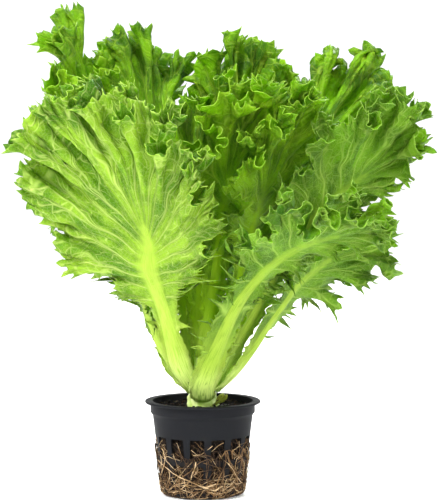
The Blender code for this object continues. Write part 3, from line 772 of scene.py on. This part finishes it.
def veinLines(tree, parts, place):
    # height of the veins, 0 to 1, and a vector that runs along them
    across, outwards, span = parts
    links = {"Vector": place, "Scale": 1 / tissue["wander"], "Detail": 1}
    wander = addNode(tree, "TexNoise", links)
    wander = addNode(tree, "Math", {0: wander, 1: 1.2, 2: -0.6}, operation="MULTIPLY_ADD")
    sideways = addNode(tree, "Math", {0: across, 1: wander}, operation="ADD")
    lane = addNode(tree, "Math", {0: sideways, 1: 0.5}, operation="PINGPONG")
    broad, narrow = tissue["vein"]
    width = addNode(tree, "MapRange", {0: outwards, 1: 0.1, 2: 1, 3: broad, 4: narrow}, **smooth)
    lines = 0
    for start, end, gap, thin, height in tissue["forks"]:
        fork = addNode(tree, "MapRange", {0: outwards, 1: start, 2: end, 4: gap}, **smooth)
        lane = addNode(tree, "Math", {0: lane, 1: fork}, operation="SUBTRACT")
        lane = addNode(tree, "Math", {0: lane}, operation="ABSOLUTE")
        thinner = addNode(tree, "Math", {0: width, 1: thin}, operation="MULTIPLY")
        line = addNode(tree, "Math", {0: lane, 1: thinner}, operation="DIVIDE")
        line = addNode(tree, "Math", {0: 1, 1: line}, operation="SUBTRACT", use_clamp=True)
        line = addNode(tree, "Math", {0: line, 1: height}, operation="MULTIPLY")
        lines = addNode(tree, "Math", {0: lines, 1: line}, operation="MAXIMUM")
    # side veins link them in long meshes, and the finest net fills these
    long = addNode(tree, "Math", {0: outwards, 1: tissue["meshes"]}, operation="MULTIPLY")
    wide = addNode(tree, "Math", {0: sideways, 1: tissue["meshesAcross"]}, operation="MULTIPLY")
    stretched = addNode(tree, "CombineXYZ", {0: wide, 1: long})
    onNet = addNode(tree, "MapRange", {0: span, 1: 0.2, 2: 0.42}, **smooth)
    nets = ((stretched, 1, *tissue["sideVein"]), (place, 1 / tissue["netCell"], *tissue["netVein"]))
    for vector, scale, thin, height in nets:
        links = {"Vector": vector, "Scale": scale}
        cells = addNode(tree, "TexVoronoi", links, feature="DISTANCE_TO_EDGE")
        net = addNode(tree, "MapRange", {0: cells, 1: 0, 2: thin, 3: height, 4: 0}, **smooth)
        net = addNode(tree, "Math", {0: net, 1: onNet}, operation="MULTIPLY")
        lines = addNode(tree, "Math", {0: lines, 1: net}, operation="MAXIMUM")
    onBlade = addNode(tree, "MapRange", {0: outwards, 1: 0.05, 2: 0.16}, **smooth)
    lines = addNode(tree, "Math", {0: lines, 1: onBlade}, operation="MULTIPLY")
    return lines, addNode(tree, "CombineXYZ", {0: sideways, 1: outwards, 2: span})


def leafSide(name, look, side):
    made, tree = newMaterial(name)
    place = addNode(tree, "TexCoord", out="Object")
    layout = addNode(tree, "Attribute", out="Vector", attribute_name="veins")
    parts = addNode(tree, "SeparateXYZ", {0: layout}).node.outputs
    across, outwards, span = parts
    lines, streaks = veinLines(tree, parts, place)
    patches = 0
    for vector, size, detail, roughness, weight in (
        (place, tissue["patch"], 4, 0.6, 1),
        (streaks, tissue["streak"], 4, 0.6, 1),
        (place, tissue["mottle"], 2, 0.5, 0.35),
    ):
        links = {"Vector": vector, "Scale": 1 / size, "Detail": detail, "Roughness": roughness}
        links = {0: addNode(tree, "TexNoise", links), 1: weight, 2: patches}
        patches = addNode(tree, "Math", links, operation="MULTIPLY_ADD")
    deep, light = [linearColour(code) for code in look[side]]
    green = layOver(tree, deep, light, patches, 0.94, 1.42)
    paint = addNode(tree, "Math", {0: lines, 1: tissue["veinPaint"][side]}, operation="MULTIPLY")
    green = addNode(tree, "Mix", {0: paint, 6: green, 7: linearColour(look["vein"])}, **colours)
    # the rib is striped along its length, and paler towards the stem; the steps below are shares
    # of the way from rib to margin (outwards) and from stem to tip (span)
    wing = addNode(tree, "Math", {0: across}, operation="SIGN")
    narrow, slow = tissue["fibres"]
    fibre = addNode(tree, "Math", {0: outwards, 1: narrow}, operation="MULTIPLY")
    height = addNode(tree, "Math", {0: span, 1: slow}, operation="MULTIPLY")
    alongRib = addNode(tree, "CombineXYZ", {0: fibre, 1: height, 2: wing})
    fibres = addNode(tree, "TexNoise", {"Vector": alongRib, "Scale": 1})
    base, petiole = linearColour(look["base"]), linearColour(look["petiole"])
    fleshy = layOver(tree, base, petiole, span, 0.03, 0.2)
    fleshy = layOver(tree, fleshy, light, fibres, 0.48, 0.66, 0.75)
    rib = addNode(tree, "MapRange", {0: outwards, 1: 0.03, 2: 0.14, 3: 0.85, 4: 0}, **smooth)
    fade = addNode(tree, "MapRange", {0: span, 1: 0.35, 2: 0.8, 3: 1, 4: 0.4}, **smooth)
    rib = addNode(tree, "Math", {0: rib, 1: fade}, operation="MULTIPLY")
    low = addNode(tree, "MapRange", {0: span, 1: 0.1, 2: 0.4, 3: 1, 4: 0}, **smooth)
    pale = addNode(tree, "Math", {0: rib, 1: low}, operation="MAXIMUM")
    colour = addNode(tree, "Mix", {0: pale, 6: green, 7: fleshy}, **colours)
    links = {"Vector": place, "Scale": 1 / tissue["pucker"], "Detail": 1}
    pucker = addNode(tree, "TexNoise", links)
    ribbed = addNode(tree, "Math", {0: fibres, 1: pale}, operation="MULTIPLY")
    relief = 0
    for part, weight in zip((pucker, lines, ribbed), tissue["reliefs"]):
        relief = addNode(tree, "Math", {0: part, 1: weight, 2: relief}, operation="MULTIPLY_ADD")
    links = {"Strength": 0.8, "Distance": tissue["relief"], "Height": relief}
    bump = addNode(tree, "Bump", links, invert=side == "upper")
    skin = addNode(tree, "BsdfPrincipled", {
        "Base Color": colour, "Roughness": tissue["roughness"][side],
        "Specular IOR Level": tissue["sheen"], "Normal": bump,
    })
    # light shines through the blade as a warmer green, less so where it is fleshy
    share = addNode(tree, "Math", {0: pale, 1: -0.3, 2: 0.65}, operation="MULTIPLY_ADD")
    glowing = addNode(tree, "Mix", {0: share, 6: colour, 7: linearColour(look["glow"])}, **colours)
    glow = addNode(tree, "BsdfTranslucent", {"Color": glowing, "Normal": bump})
    both = addNode(tree, "MixShader", {0: look["through"], 1: skin, 2: glow})
    addNode(tree, "OutputMaterial", {0: both})
    return made


def leafEdge(name, look):  # the thin margin, tinted pale: a painted highlight along the bright edges of the leaves
    made, tree = newMaterial(name)
    place = addNode(tree, "TexCoord", out="Object")
    patches = addNode(tree, "TexNoise", {"Vector": place, "Scale": 1 / tissue["marginPatch"]})
    pale, green = linearColour(look["margin"]), linearColour(look["under"][1])
    tint = addNode(tree, "Mix", {0: patches, 6: pale, 7: green}, **colours)
    skin = addNode(tree, "BsdfPrincipled", {"Base Color": tint, "Roughness": 0.5})
    addNode(tree, "OutputMaterial", {0: skin})
    return made


def leafFinishes(name, look):
    return [
        leafSide(name + "LeafUpperSide", look, "upper"),
        leafSide(name + "LeafUnderSide", look, "under"),
        leafEdge(name + "LeafMargin", look),
    ]


# Stem: the short pale stump that the leaves grow from, with scars of those that were picked

stump = dict(
    steps=72,
    rise=0.7 * mm,  # height of a ring of its mesh
    lumps=0.7 * mm, lumpSize=5 * mm,
    scars=(
        # azimuth, height, width round, width up, push outwards
        (200, 47, 2.2, 1.1, 1.1), (188, 50.5, 1.6, 1.2, 0.9), (205, 44.8, 2.6, 0.9, 1.2),
        (215, 52, 2.4, 1.0, 0.8), (250, 45.5, 3.2, 1.0, 0.9), (290, 44.4, 5.5, 1.1, 1.5),
        (310, 47.5, 3.0, 1.2, 0.8), (20, 46, 4, 1.2, 1.2), (60, 48, 4, 1.2, 1),
        (110, 45.5, 5, 1.2, 1.3), (150, 49, 3, 1.1, 1),
    ),
    flesh=("#dcec9c", "#a4c84e"), cork="#a08a52", corkHeights=(43.5 * mm, 47.5 * mm),
    roughness=0.42,
)


def turnedMesh(profile, steps):  # a shape turned about Z from its profile
    bm = bmesh.new()
    verts = [bm.verts.new((r, 0, z)) for r, z in profile]
    for a, b in zip(verts, verts[1:]):
        bm.edges.new((a, b))
    bmesh.ops.spin(
        bm, geom=bm.verts[:] + bm.edges[:], cent=(0, 0, 0), axis=(0, 0, 1), angle=math.tau,
        steps=steps, use_merge=True,
    )
    bmesh.ops.remove_doubles(bm, verts=bm.verts, dist=0.01 * mm)
    bmesh.ops.recalc_face_normals(bm, faces=bm.faces)
    for face in bm.faces:
        face.smooth = True
    return bm


def makeStump():
    low, high = [stemShape["profile"][end][1] * mm for end in (0, -1)]
    count = round((high - low) / stump["rise"])
    heights = [low + (high - low) * k / count for k in range(1, count)]
    profile = [(0, low), *[(stemRadius(z), z) for z in heights], (0, high)]
    bm = turnedMesh(profile, stump["steps"])
    for vert in bm.verts:
        radius = math.hypot(vert.co.x, vert.co.y)
        if radius < 0.1 * mm:
            continue
        azimuth = math.atan2(vert.co.y, vert.co.x)
        push = stump["lumps"] * noise.noise(vert.co / stump["lumpSize"])
        for turn, height, wide, tall, out in stump["scars"]:
            aside = math.remainder(azimuth - math.radians(turn), math.tau) * radius / (wide * mm)
            rise = (vert.co.z - height * mm) / (tall * mm)
            push += out * mm * math.exp(-(aside**2) - rise**2)
        vert.co += awayFromAxis(vert.co) * push
    newPiece("stump", meshFrom("stump", bm), ["stem"], "stem", stemFlesh())
    print("stump made")


def stemFlesh():
    # watery pale flesh under a thin skin, corky at its scars
    made, tree = newMaterial("lettuceStem")
    place = addNode(tree, "TexCoord", out="Object")
    drawn = addNode(tree, "Mapping", {"Vector": place, "Scale": (1, 1, 0.3)})  # upright streaks
    patterns = (drawn, 3.5 * mm, 3), (drawn, 1.4 * mm, 4), (place, 1.1 * mm, 3)
    streaks, lines, specks = [
        addNode(tree, "TexNoise", {"Vector": vector, "Scale": 1 / size, "Detail": detail})
        for vector, size, detail in patterns
    ]
    pale, green = [linearColour(code) for code in stump["flesh"]]
    tint = layOver(tree, pale, green, streaks, 0.35, 0.65)
    height = addNode(tree, "SeparateXYZ", {0: place}, out=2)
    low, high = stump["corkHeights"]
    low = addNode(tree, "MapRange", {0: height, 1: low, 2: high, 3: 0.8, 4: 0.12}, **smooth)
    tint = layOver(tree, tint, linearColour(stump["cork"]), specks, 0.62, 0.7, low)
    bump = addNode(tree, "Bump", {"Strength": 0.5, "Distance": 0.3 * mm, "Height": lines})
    skin = addNode(tree, "BsdfPrincipled", {
        "Base Color": tint, "Roughness": stump["roughness"], "Normal": bump,
        "Subsurface Weight": 0.3, "Subsurface Scale": 2 * mm, "Subsurface Radius": (1, 1, 0.4),
    })
    addNode(tree, "OutputMaterial", {0: skin})
    return made


# Seed leaf: small, thick and oval, olive green with a few dark spots

seedLeaf = dict(
    length=10 * mm, halfWidth=2.6 * mm, stalk=0.16, thickness=0.9 * mm, rim=0.25 * mm,
    azimuth=-48, rise=28, roll=-30, height=47.2 * mm,
    green=("#6b7420", "#8a9a34"), patch=3 * mm, spot="#3a3216", spotSize=1.5 * mm, roughness=0.4,
)


def makeSeedLeaf():
    bm = bmesh.new()
    bmesh.ops.create_grid(bm, x_segments=40, y_segments=20, size=1)
    azimuth = math.radians(seedLeaf["azimuth"])
    turn = Matrix.Rotation(azimuth, 4, "Z")
    turn = turn @ Matrix.Rotation(math.radians(-seedLeaf["rise"]), 4, "Y")
    turn = turn @ Matrix.Rotation(math.radians(seedLeaf["roll"]), 4, "X")
    start = around(azimuth, stemRadius(seedLeaf["height"]) + blade["clear"], seedLeaf["height"])
    length, halfWidth, stalk = seedLeaf["length"], seedLeaf["halfWidth"], seedLeaf["stalk"]
    for vert in bm.verts:
        f, aside = (vert.co.x + 1) / 2, vert.co.y
        widening = float(smoothStep(0.25, 0.75, f))
        oval = stalk + (1 - stalk) * widening * math.sqrt(max(1.02 - f**4, 0.02))
        groove = 0.02 * math.exp(-((aside / 0.12) ** 2))
        arch = 0.18 * (f**2 + 0.3 * aside**2 * f) - groove
        vert.co = start + turn @ Vector((f * length, aside * oval * halfWidth, arch * length))
    for face in bm.faces:
        face.smooth = True
    shape = meshFrom("seed_leaf_oval", bm)
    piece = newPiece("seed_leaf_oval", shape, ["seed_leaf"], "seed_leaf", seedLeafSkin())
    shell = piece.modifiers.new("thickness", "SOLIDIFY")
    shell.thickness = seedLeaf["thickness"]
    rim = piece.modifiers.new("rim", "BEVEL")
    rim.width = seedLeaf["rim"]
    rim.segments = 2
    print("seed leaf made")


def seedLeafSkin():
    made, tree = newMaterial("seedLeafSkin")  # waxy and thick, so it is duller than the leaves
    place = addNode(tree, "TexCoord", out="Object")
    deep, light = [linearColour(code) for code in seedLeaf["green"]]
    patches = addNode(tree, "TexNoise", {"Vector": place, "Scale": 1 / seedLeaf["patch"]})
    tint = layOver(tree, deep, light, patches, 0.35, 0.65)
    links = {"Vector": place, "Scale": 1 / seedLeaf["spotSize"], "Detail": 1}
    spots = addNode(tree, "TexNoise", links)
    tint = layOver(tree, tint, linearColour(seedLeaf["spot"]), spots, 0.66, 0.7)
    links = {"Base Color": tint, "Roughness": seedLeaf["roughness"]}
    addNode(tree, "OutputMaterial", {0: addNode(tree, "BsdfPrincipled", links)})
    return made


# Net pot: thin injection-moulded polypropylene with a flat rolled rim and two tiers of slots

pot = dict(
    height=49, rimRadius=30, rimThickness=1.2, rimRound=0.5, lipRound=0.5, edgeRound=0.4,
    bandRadius=27.2, bandBottom=43, shoulderRadius=26, shoulderHeight=41.5, shoulderStep=0.6,
    footRadius=21.4, footRound=3, wall=1.2, floor=1.8, innerRound=1.5, steps=168,
    # rings of the mesh on the wall, at and between the ends of the slots
    insideHeights=(8, 17.5, 20.5, 30), outsideHeights=(36, 30, 25, 20.5, 17.5, 13, 8),
    # slots: bottom, top and width of each tier, and where the first one is, in slots
    tiers=((20.5, 31.4, 7.4), (8, 17.5, 6.2)), slotCount=14, slotStart=0.25,
    slotDepth=12, slotRound=0.7, floorSlots=7, floorSlotWidth=3, floorSlotSpan=(7, 16), edge=0.16,
    plastic="#191a1d", dust="#2e261c", roughness=0.55, sheen=0.06,
)


def potRadius(height):  # outside of the tapered wall, in millimetres
    share = (height - pot["footRound"]) / (pot["shoulderHeight"] - pot["footRound"])
    return pot["footRadius"] + (pot["shoulderRadius"] - pot["footRadius"]) * share


def potInside(height):
    foot = pot["floor"] + pot["innerRound"]
    share = (height - foot) / (pot["shoulderHeight"] - foot)
    return pot["footRadius"] + (pot["shoulderRadius"] - pot["footRadius"]) * share - pot["wall"]


def arcOf(centre, radius, first, last, count=5):
    # points of a rounding in a profile, with its angles in degrees
    turns = [math.radians(first + (last - first) * k / count) for k in range(count + 1)]
    return [(centre[0] + radius * math.cos(a), centre[1] + radius * math.sin(a)) for a in turns]


def makePot():
    p = pot
    foot = p["floor"] + p["innerRound"]
    under, rim = p["height"] - p["rimThickness"], p["rimRound"]
    inner = p["bandRadius"] - p["wall"]
    lip, edge, step = p["lipRound"], p["edgeRound"], p["shoulderStep"]
    profile = [
        (0, p["floor"]),
        *arcOf((potInside(foot) - p["innerRound"], foot), p["innerRound"], -90, 0),
        *[(potInside(z), z) for z in (*p["insideHeights"], p["shoulderHeight"])],
        (inner, p["bandBottom"] + 1),
        *arcOf((inner + lip, p["height"] - lip), lip, 180, 90),
        *arcOf((p["rimRadius"] - rim, p["height"] - rim), rim, 90, 0),
        *arcOf((p["rimRadius"] - edge, under + edge), edge, 0, -90, 3),
        *arcOf((p["bandRadius"] + lip, under - lip), lip, 90, 180, 4),
        *arcOf((p["bandRadius"] - edge, p["bandBottom"] + 0.2), edge, 0, -50, 3),
        (p["shoulderRadius"] + 0.15, p["shoulderHeight"] + 0.25),
        *[(potRadius(z), z) for z in (p["shoulderHeight"] - step, *p["outsideHeights"])],
        *arcOf((p["footRadius"] - p["footRound"], p["footRound"]), p["footRound"], 0, -90, 7),
        (0, 0),
    ]
    shape = turnedMesh([(r * mm, z * mm) for r, z in profile], p["steps"])
    body = newObject("potBody", meshFrom("potBody", shape))
    bm = bmesh.new()
    for bottom, top, width in p["tiers"]:
        for n in range(p["slotCount"]):
            turn = math.tau * (n + p["slotStart"]) / p["slotCount"]
            centre = potRadius(bottom), (bottom + top) / 2
            addSlot(bm, turn, centre, (p["slotDepth"], width, top - bottom))
    low, high = p["floorSlotSpan"]
    for n in range(p["floorSlots"]):
        centre = (low + high) / 2, p["floor"] / 2
        size = high - low, p["floorSlotWidth"], 3 * p["floor"]
        addSlot(bm, math.tau * n / p["floorSlots"], centre, size)
    cutter = newObject("slots", meshFrom("slots", bm))
    cut = body.modifiers.new("slots", "BOOLEAN")
    cut.object = cutter
    rounding = body.modifiers.new("edge", "BEVEL")
    rounding.width = p["edge"] * mm
    rounding.segments = 2
    rounding.limit_method = "ANGLE"
    rounding.angle_limit = math.radians(50)
    rounding.use_clamp_overlap = True
    shape = evaluatedMesh(body)
    bpy.data.objects.remove(body)
    bpy.data.objects.remove(cutter)
    piece = newPiece("net_pot_moulded", shape, ["net_pot"], "black_plastic", potPlastic())
    smoothed = piece.modifiers.new("shading", "WEIGHTED_NORMAL")
    smoothed.keep_sharp = True
    print("net pot made")


def addSlot(bm, turn, centre, size):
    # a box with rounded corners, its length pointing away from the axis
    scale = Matrix.Diagonal((*[s * mm for s in size], 1))
    place = Matrix.Translation((centre[0] * mm, 0, centre[1] * mm)) @ scale
    box = bmesh.ops.create_cube(bm, size=1, matrix=place)["verts"]
    edges = {edge for vert in box for edge in vert.link_edges}
    radial = [e for e in edges if abs((e.verts[0].co - e.verts[1].co).normalized().x) > 0.9]
    rounded = bmesh.ops.bevel(
        bm, geom=radial, offset=pot["slotRound"] * mm, offset_type="OFFSET", segments=3,
        profile=0.5, affect="EDGES", material=-1,
    )
    verts = {vert for vert in box if vert.is_valid} | set(rounded["verts"])
    spin = Matrix.Rotation(turn, 3, "Z")
    bmesh.ops.rotate(bm, verts=list(verts), cent=(0, 0, 0), matrix=spin)


def potPlastic():
    # a soft satin sheen, dulled by dust of the peat
    made, tree = newMaterial("mouldedPolypropylene")
    place = addNode(tree, "TexCoord", out="Object")
    height = addNode(tree, "SeparateXYZ", {0: place}, out=2)
    patterns = (6 * mm, 4, 0.6), (0.5 * mm, 2, 0.5), (9 * mm, 3, 0.5)
    links = [dict(Vector=place, Scale=1 / size, Detail=n, Roughness=f) for size, n, f in patterns]
    clouds, grain, wear = [addNode(tree, "TexNoise", link) for link in links]
    low = addNode(tree, "MapRange", {0: height, 1: 12 * mm, 2: 34 * mm, 3: 0.5, 4: 0.06}, **smooth)
    plastic, dust = linearColour(pot["plastic"]), linearColour(pot["dust"])
    tint = layOver(tree, plastic, dust, clouds, 0.5, 0.72, low)
    bump = addNode(tree, "Bump", {"Strength": 0.12, "Distance": 0.08 * mm, "Height": grain})
    links = {0: wear, 1: 0.2, 2: pot["roughness"] - 0.1}
    rough = addNode(tree, "Math", links, operation="MULTIPLY_ADD")
    skin = addNode(tree, "BsdfPrincipled", {
        "Base Color": tint, "Roughness": rough, "Normal": bump, "Specular IOR Level": pot["sheen"],
    })
    addNode(tree, "OutputMaterial", {0: skin})
    return made


# Growing medium: moist, nearly black peat, with crumbs, bits of bark and a few glossy wet lumps

peat = dict(
    top=45, bottom=2.2, gap=0.45, steps=150, ring=0.9, seed=5,
    lump=1.6, lumpSize=4.5 * mm, swell=0.9, sink=0.3, bite=1.4, rings=(4, 18),
    bank=1.4, bankRadius=9, bankWidth=12,  # the surface is banked up round the stem
    crumbs=700, crumbSizes=(0.45, 0.6, 0.8, 1.1, 1.5), crumbZone=(8.5, 25),
    slotCrumbs=900, slotCrumbSizes=(0.4, 0.55, 0.75, 1.0),
    wetLumps=30, wetAzimuth=(-38, 16),  # degrees: the middle and the spread
    dark=("#050403", "#1a120b", "#443222"), pale="#8a7454", wet=("#0a0b0d", "#1b1d20"),
    roughness=0.82, sheen=0.12,
)


def makePeat():
    p = peat
    draw = random.Random(p["seed"])
    foot = pot["floor"] + pot["innerRound"]
    count = round((p["top"] - p["bottom"]) / p["ring"])
    heights = [p["bottom"] + (p["top"] - p["bottom"]) * k / count for k in range(count + 1)]
    edge = potInside(p["top"]) - p["gap"]
    under, over = p["rings"]
    inwards = [(edge * (1 - k / over), p["top"]) for k in range(1, over)]
    base = potInside(p["bottom"] + 1) - p["gap"] - pot["innerRound"]
    base = [(base * k / under, p["bottom"]) for k in range(under)]
    side = [(potInside(z) - p["gap"], z) for z in heights]
    side = [(min(r, potInside(foot) - p["gap"]) if z < foot else r, z) for r, z in side]
    profile = [(r * mm, z * mm) for r, z in [*base, *side, *inwards, (0, p["top"])]]
    bm = turnedMesh(profile, p["steps"])
    for vert in bm.verts:
        radius = math.hypot(vert.co.x, vert.co.y) / mm
        rough = noise.fractal(vert.co / p["lumpSize"], 0.8, 2.1, 4)
        if vert.co.z > (p["top"] - 0.1) * mm:
            bank = p["bank"] * math.exp(-((radius - p["bankRadius"]) ** 2) / p["bankWidth"])
            vert.co.z += mm * (p["swell"] * rough - p["sink"] + bank)
        elif radius > 5:
            vert.co -= awayFromAxis(vert.co) * mm * p["lump"] * min(abs(rough) * p["bite"], 1)
    finish = peatFinish("moistPeat", 0)
    newPiece("peat_plug", meshFrom("peat_plug", bm), ["growing_medium"], "peat", finish)
    bm = bmesh.new()
    near, far = p["crumbZone"]
    for _ in range(p["crumbs"]):
        azimuth = draw.uniform(0, math.tau)
        radius = math.sqrt(draw.uniform(near**2, far**2))
        size = draw.choice(p["crumbSizes"])
        place = around(azimuth, radius * mm, (p["top"] + draw.uniform(0, 0.9)) * mm)
        addCrumb(bm, place, size * mm, 0.75, draw)
    for _ in range(p["slotCrumbs"]):
        bottom, top, width = draw.choice(pot["tiers"])
        slot = draw.randrange(pot["slotCount"]) + pot["slotStart"]
        height = draw.uniform(bottom - 0.5, top + 0.5)
        aside = draw.uniform(-0.5, 0.5) * (width + 0.6) / potInside(height)
        size = draw.choice(p["slotCrumbSizes"])
        depth = potInside(height) - 0.3 - size * 0.6 - draw.uniform(0, 0.5)
        place = around(math.tau * slot / pot["slotCount"] + aside, depth * mm, height * mm)
        addCrumb(bm, place, size * mm, 0.7, draw)
    finish = peatFinish("peatCrumbs", 0.35)
    newPiece("peat_crumbs", meshFrom("peat_crumbs", bm), ["growing_medium"], "peat", finish)
    bm = bmesh.new()
    for _ in range(p["wetLumps"]):
        azimuth, radius = math.radians(draw.gauss(*p["wetAzimuth"])), draw.uniform(10, 15)
        place = around(azimuth, radius * mm, (p["top"] + draw.uniform(0.3, 1.8)) * mm)
        addCrumb(bm, place, draw.uniform(0.6, 1.1) * mm, 0.9, draw, 2)
    finish = wetFinish()
    newPiece("wet_lumps", meshFrom("wet_lumps", bm), ["growing_medium"], "peat", finish)
    print("growing medium made")


def addCrumb(bm, place, size, squash, draw, detail=1):
    azimuth = draw.uniform(0, math.tau)
    turn = Matrix.Rotation(azimuth, 4, Vector([draw.gauss(0, 1) for _ in range(3)]).normalized())
    sizes = draw.uniform(0.7, 1.3), draw.uniform(0.6, 1), squash * draw.uniform(0.7, 1.1)
    matrix = Matrix.Translation(place) @ turn @ Matrix.Diagonal((*sizes, 1))
    made = bmesh.ops.create_icosphere(bm, subdivisions=detail, radius=size, matrix=matrix)["verts"]
    for vert in made:
        vert.co += Vector([draw.uniform(-0.22, 0.22) * size for _ in range(3)])


def peatFinish(name, shift):
    made, tree = newMaterial(name)  # wet fibres and crumbs: dark with a faint moist sheen
    place = addNode(tree, "TexCoord", out="Object")
    patterns = (1.6 * mm, 4, 0.65), (2.3 * mm, 3, 0.5), (1.2 * mm, 1, 0.5)
    links = [dict(Vector=place, Scale=1 / size, Detail=n, Roughness=f) for size, n, f in patterns]
    crumbs, fibres, flecks = [addNode(tree, "TexNoise", link) for link in links]
    black, brown, bark = [linearColour(code) for code in peat["dark"]]
    height = addNode(tree, "SeparateXYZ", {0: place}, out=2)
    # what the roots have grown through is browner
    below = addNode(tree, "MapRange", {0: height, 1: 36 * mm, 2: 41 * mm, 3: 1, 4: 0.25}, **smooth)
    tint = layOver(tree, black, brown, crumbs, 0.4 - shift / 3, 0.66, below)
    tint = layOver(tree, tint, bark, fibres, 0.6 - shift / 4, 0.72)
    tint = layOver(tree, tint, linearColour(peat["pale"]), flecks, 0.72, 0.78)
    bump = addNode(tree, "Bump", {"Strength": 0.9, "Distance": 0.5 * mm, "Height": crumbs})
    skin = addNode(tree, "BsdfPrincipled", {
        "Base Color": tint, "Roughness": peat["roughness"], "Normal": bump,
        "Specular IOR Level": peat["sheen"],
    })
    addNode(tree, "OutputMaterial", {0: skin})
    return made


def wetFinish():
    made, tree = newMaterial("wetPeat")  # soaked lumps, black with a water film
    place = addNode(tree, "TexCoord", out="Object")
    patches = addNode(tree, "TexNoise", {"Vector": place, "Scale": 1 / (2 * mm)})
    black, grey = [linearColour(code) for code in peat["wet"]]
    tint = addNode(tree, "Mix", {0: patches, 6: black, 7: grey}, **colours)
    skin = addNode(tree, "BsdfPrincipled", {"Base Color": tint, "Roughness": 0.22, "IOR": 1.33})
    addNode(tree, "OutputMaterial", {0: skin})
    return made


# Roots: a mat of fine tan roots that come out of the slots and wrap the foot

rootMat = dict(
    sorts=(
        # name, how many, thickness, lengths, heights, lift off the wall
        ("roots_main", 50, 0.31, (24, 60), (3, 23), (0.1, 0.8)),
        ("roots_fine", 180, 0.18, (10, 30), (1.2, 19), (0.0, 0.5)),
        ("roots_foot", 150, 0.2, (12, 30), (0.6, 8), (0.0, 0.8)),
        ("roots_slots", 520, 0.16, (8, 18), (7, 33), (-0.9, 0.2)),
    ),
    step=1.9, taper=0.6, slotInset=0.3,
    bend=0.1, wander=0.22, over=3, turnBack=0.6,  # how a root winds, and turns back at its height
    # skins of single strands from old to new, and how many strands have each
    skins=(("#1e150d", "#443120"), ("#4e3822", "#8a6a46"), ("#9c7c54", "#dcc096")),
    shares=(6, 5, 3), seed=17,
    patch=4 * mm, roughness=0.6, sheen=0.2,
)


def footRadius(height):  # the outside of the pot, its rounded foot among it
    if height >= pot["footRound"]:
        return potRadius(height)
    drop = pot["footRound"] - height
    return pot["footRadius"] - pot["footRound"] + math.sqrt(max(pot["footRound"] ** 2 - drop**2, 0))


def rootPoints(draw, length, heights, lifts, thickness):
    azimuth, height = draw.uniform(0, math.tau), draw.uniform(*heights)
    low, high = heights[0], heights[1] + rootMat["over"]
    course = draw.gauss(0, 0.6) if height < 10 else draw.choice((-1, 1)) * draw.uniform(0.5, 1.5)
    if draw.random() < 0.5:
        course = math.pi - course
    bend, lift = draw.gauss(0, rootMat["bend"]), draw.uniform(*lifts)
    points = []
    for _ in range(max(4, round(length / rootMat["step"]))):
        radius = footRadius(height) + lift + thickness
        points.append(around(azimuth, radius * mm, height * mm))
        course += bend + draw.gauss(0, rootMat["wander"])
        azimuth += rootMat["step"] * math.cos(course) / radius
        height += rootMat["step"] * math.sin(course)
        if not low < height < high:
            height = min(max(height, low), high)
            course = -course * rootMat["turnBack"]
        lift = min(max(lift + draw.gauss(0, rootMat["wander"]), lifts[0]), lifts[1])
    return points


def inSlot(point):  # whether a point of a root is in front of a slot
    height = point.z / mm
    azimuth = math.atan2(point.y, point.x)
    step = math.tau / pot["slotCount"]
    turn = math.remainder(azimuth - step * pot["slotStart"], step)
    for bottom, top, width in pot["tiers"]:
        if bottom < height < top:
            return abs(turn) * potRadius(height) < width / 2 - rootMat["slotInset"]
    return False


def makeRoots():
    draw = random.Random(rootMat["seed"])
    ages = zip(("Old", "Tan", "New"), rootMat["skins"])
    finishes = [rootFinish("rootSkin" + age, *tints) for age, tints in ages]
    for name, count, thickness, lengths, heights, lifts in rootMat["sorts"]:
        line = bpy.data.curves.new(name, "CURVE")
        line.dimensions = "3D"
        line.bevel_depth = thickness * mm
        line.bevel_resolution = 0
        line.use_fill_caps = True
        for finish in finishes:
            line.materials.append(finish)
        for _ in range(count):
            points = rootPoints(draw, draw.uniform(*lengths), heights, lifts, thickness)
            if lifts[0] < -0.5:  # these would go through the wall, so only what is in a slot stays
                points = [point for point in points if inSlot(point)]
            if len(points) < 3:
                continue
            spline = line.splines.new("POLY")
            spline.points.add(len(points) - 1)
            spline.material_index = draw.choices(range(3), rootMat["shares"])[0]
            size = draw.uniform(0.6, 1.15)
            for k, (place, point) in enumerate(zip(spline.points, points)):
                place.co = (*point, 1)
                place.radius = size * (1 - rootMat["taper"] * k / len(points))
        thing = newObject(name, line)
        shape = evaluatedMesh(thing)
        bpy.data.objects.remove(thing)
        for polygon in shape.polygons:
            polygon.use_smooth = True
        skins = [polygon.material_index for polygon in shape.polygons]
        newPiece(name, shape, ["roots"], "root", *finishes)
        shape.polygons.foreach_set("material_index", skins)
    print("roots made")


def rootFinish(name, dull, light):
    made, tree = newMaterial(name)  # dry outer skin, brown when old and pale when new
    place = addNode(tree, "TexCoord", out="Object")
    links = {"Vector": place, "Scale": 1 / rootMat["patch"], "Detail": 3}
    patches = addNode(tree, "TexNoise", links)
    tint = layOver(tree, linearColour(dull), linearColour(light), patches, 0.36, 0.62)
    skin = addNode(tree, "BsdfPrincipled", {
        "Base Color": tint, "Roughness": rootMat["roughness"],
        "Specular IOR Level": rootMat["sheen"],
    })
    addNode(tree, "OutputMaterial", {0: skin})
    return made


makeCamera()
makeStudio()
makePot()
makePeat()
makeRoots()
makeStump()
makeSeedLeaf()
makeLeaves()
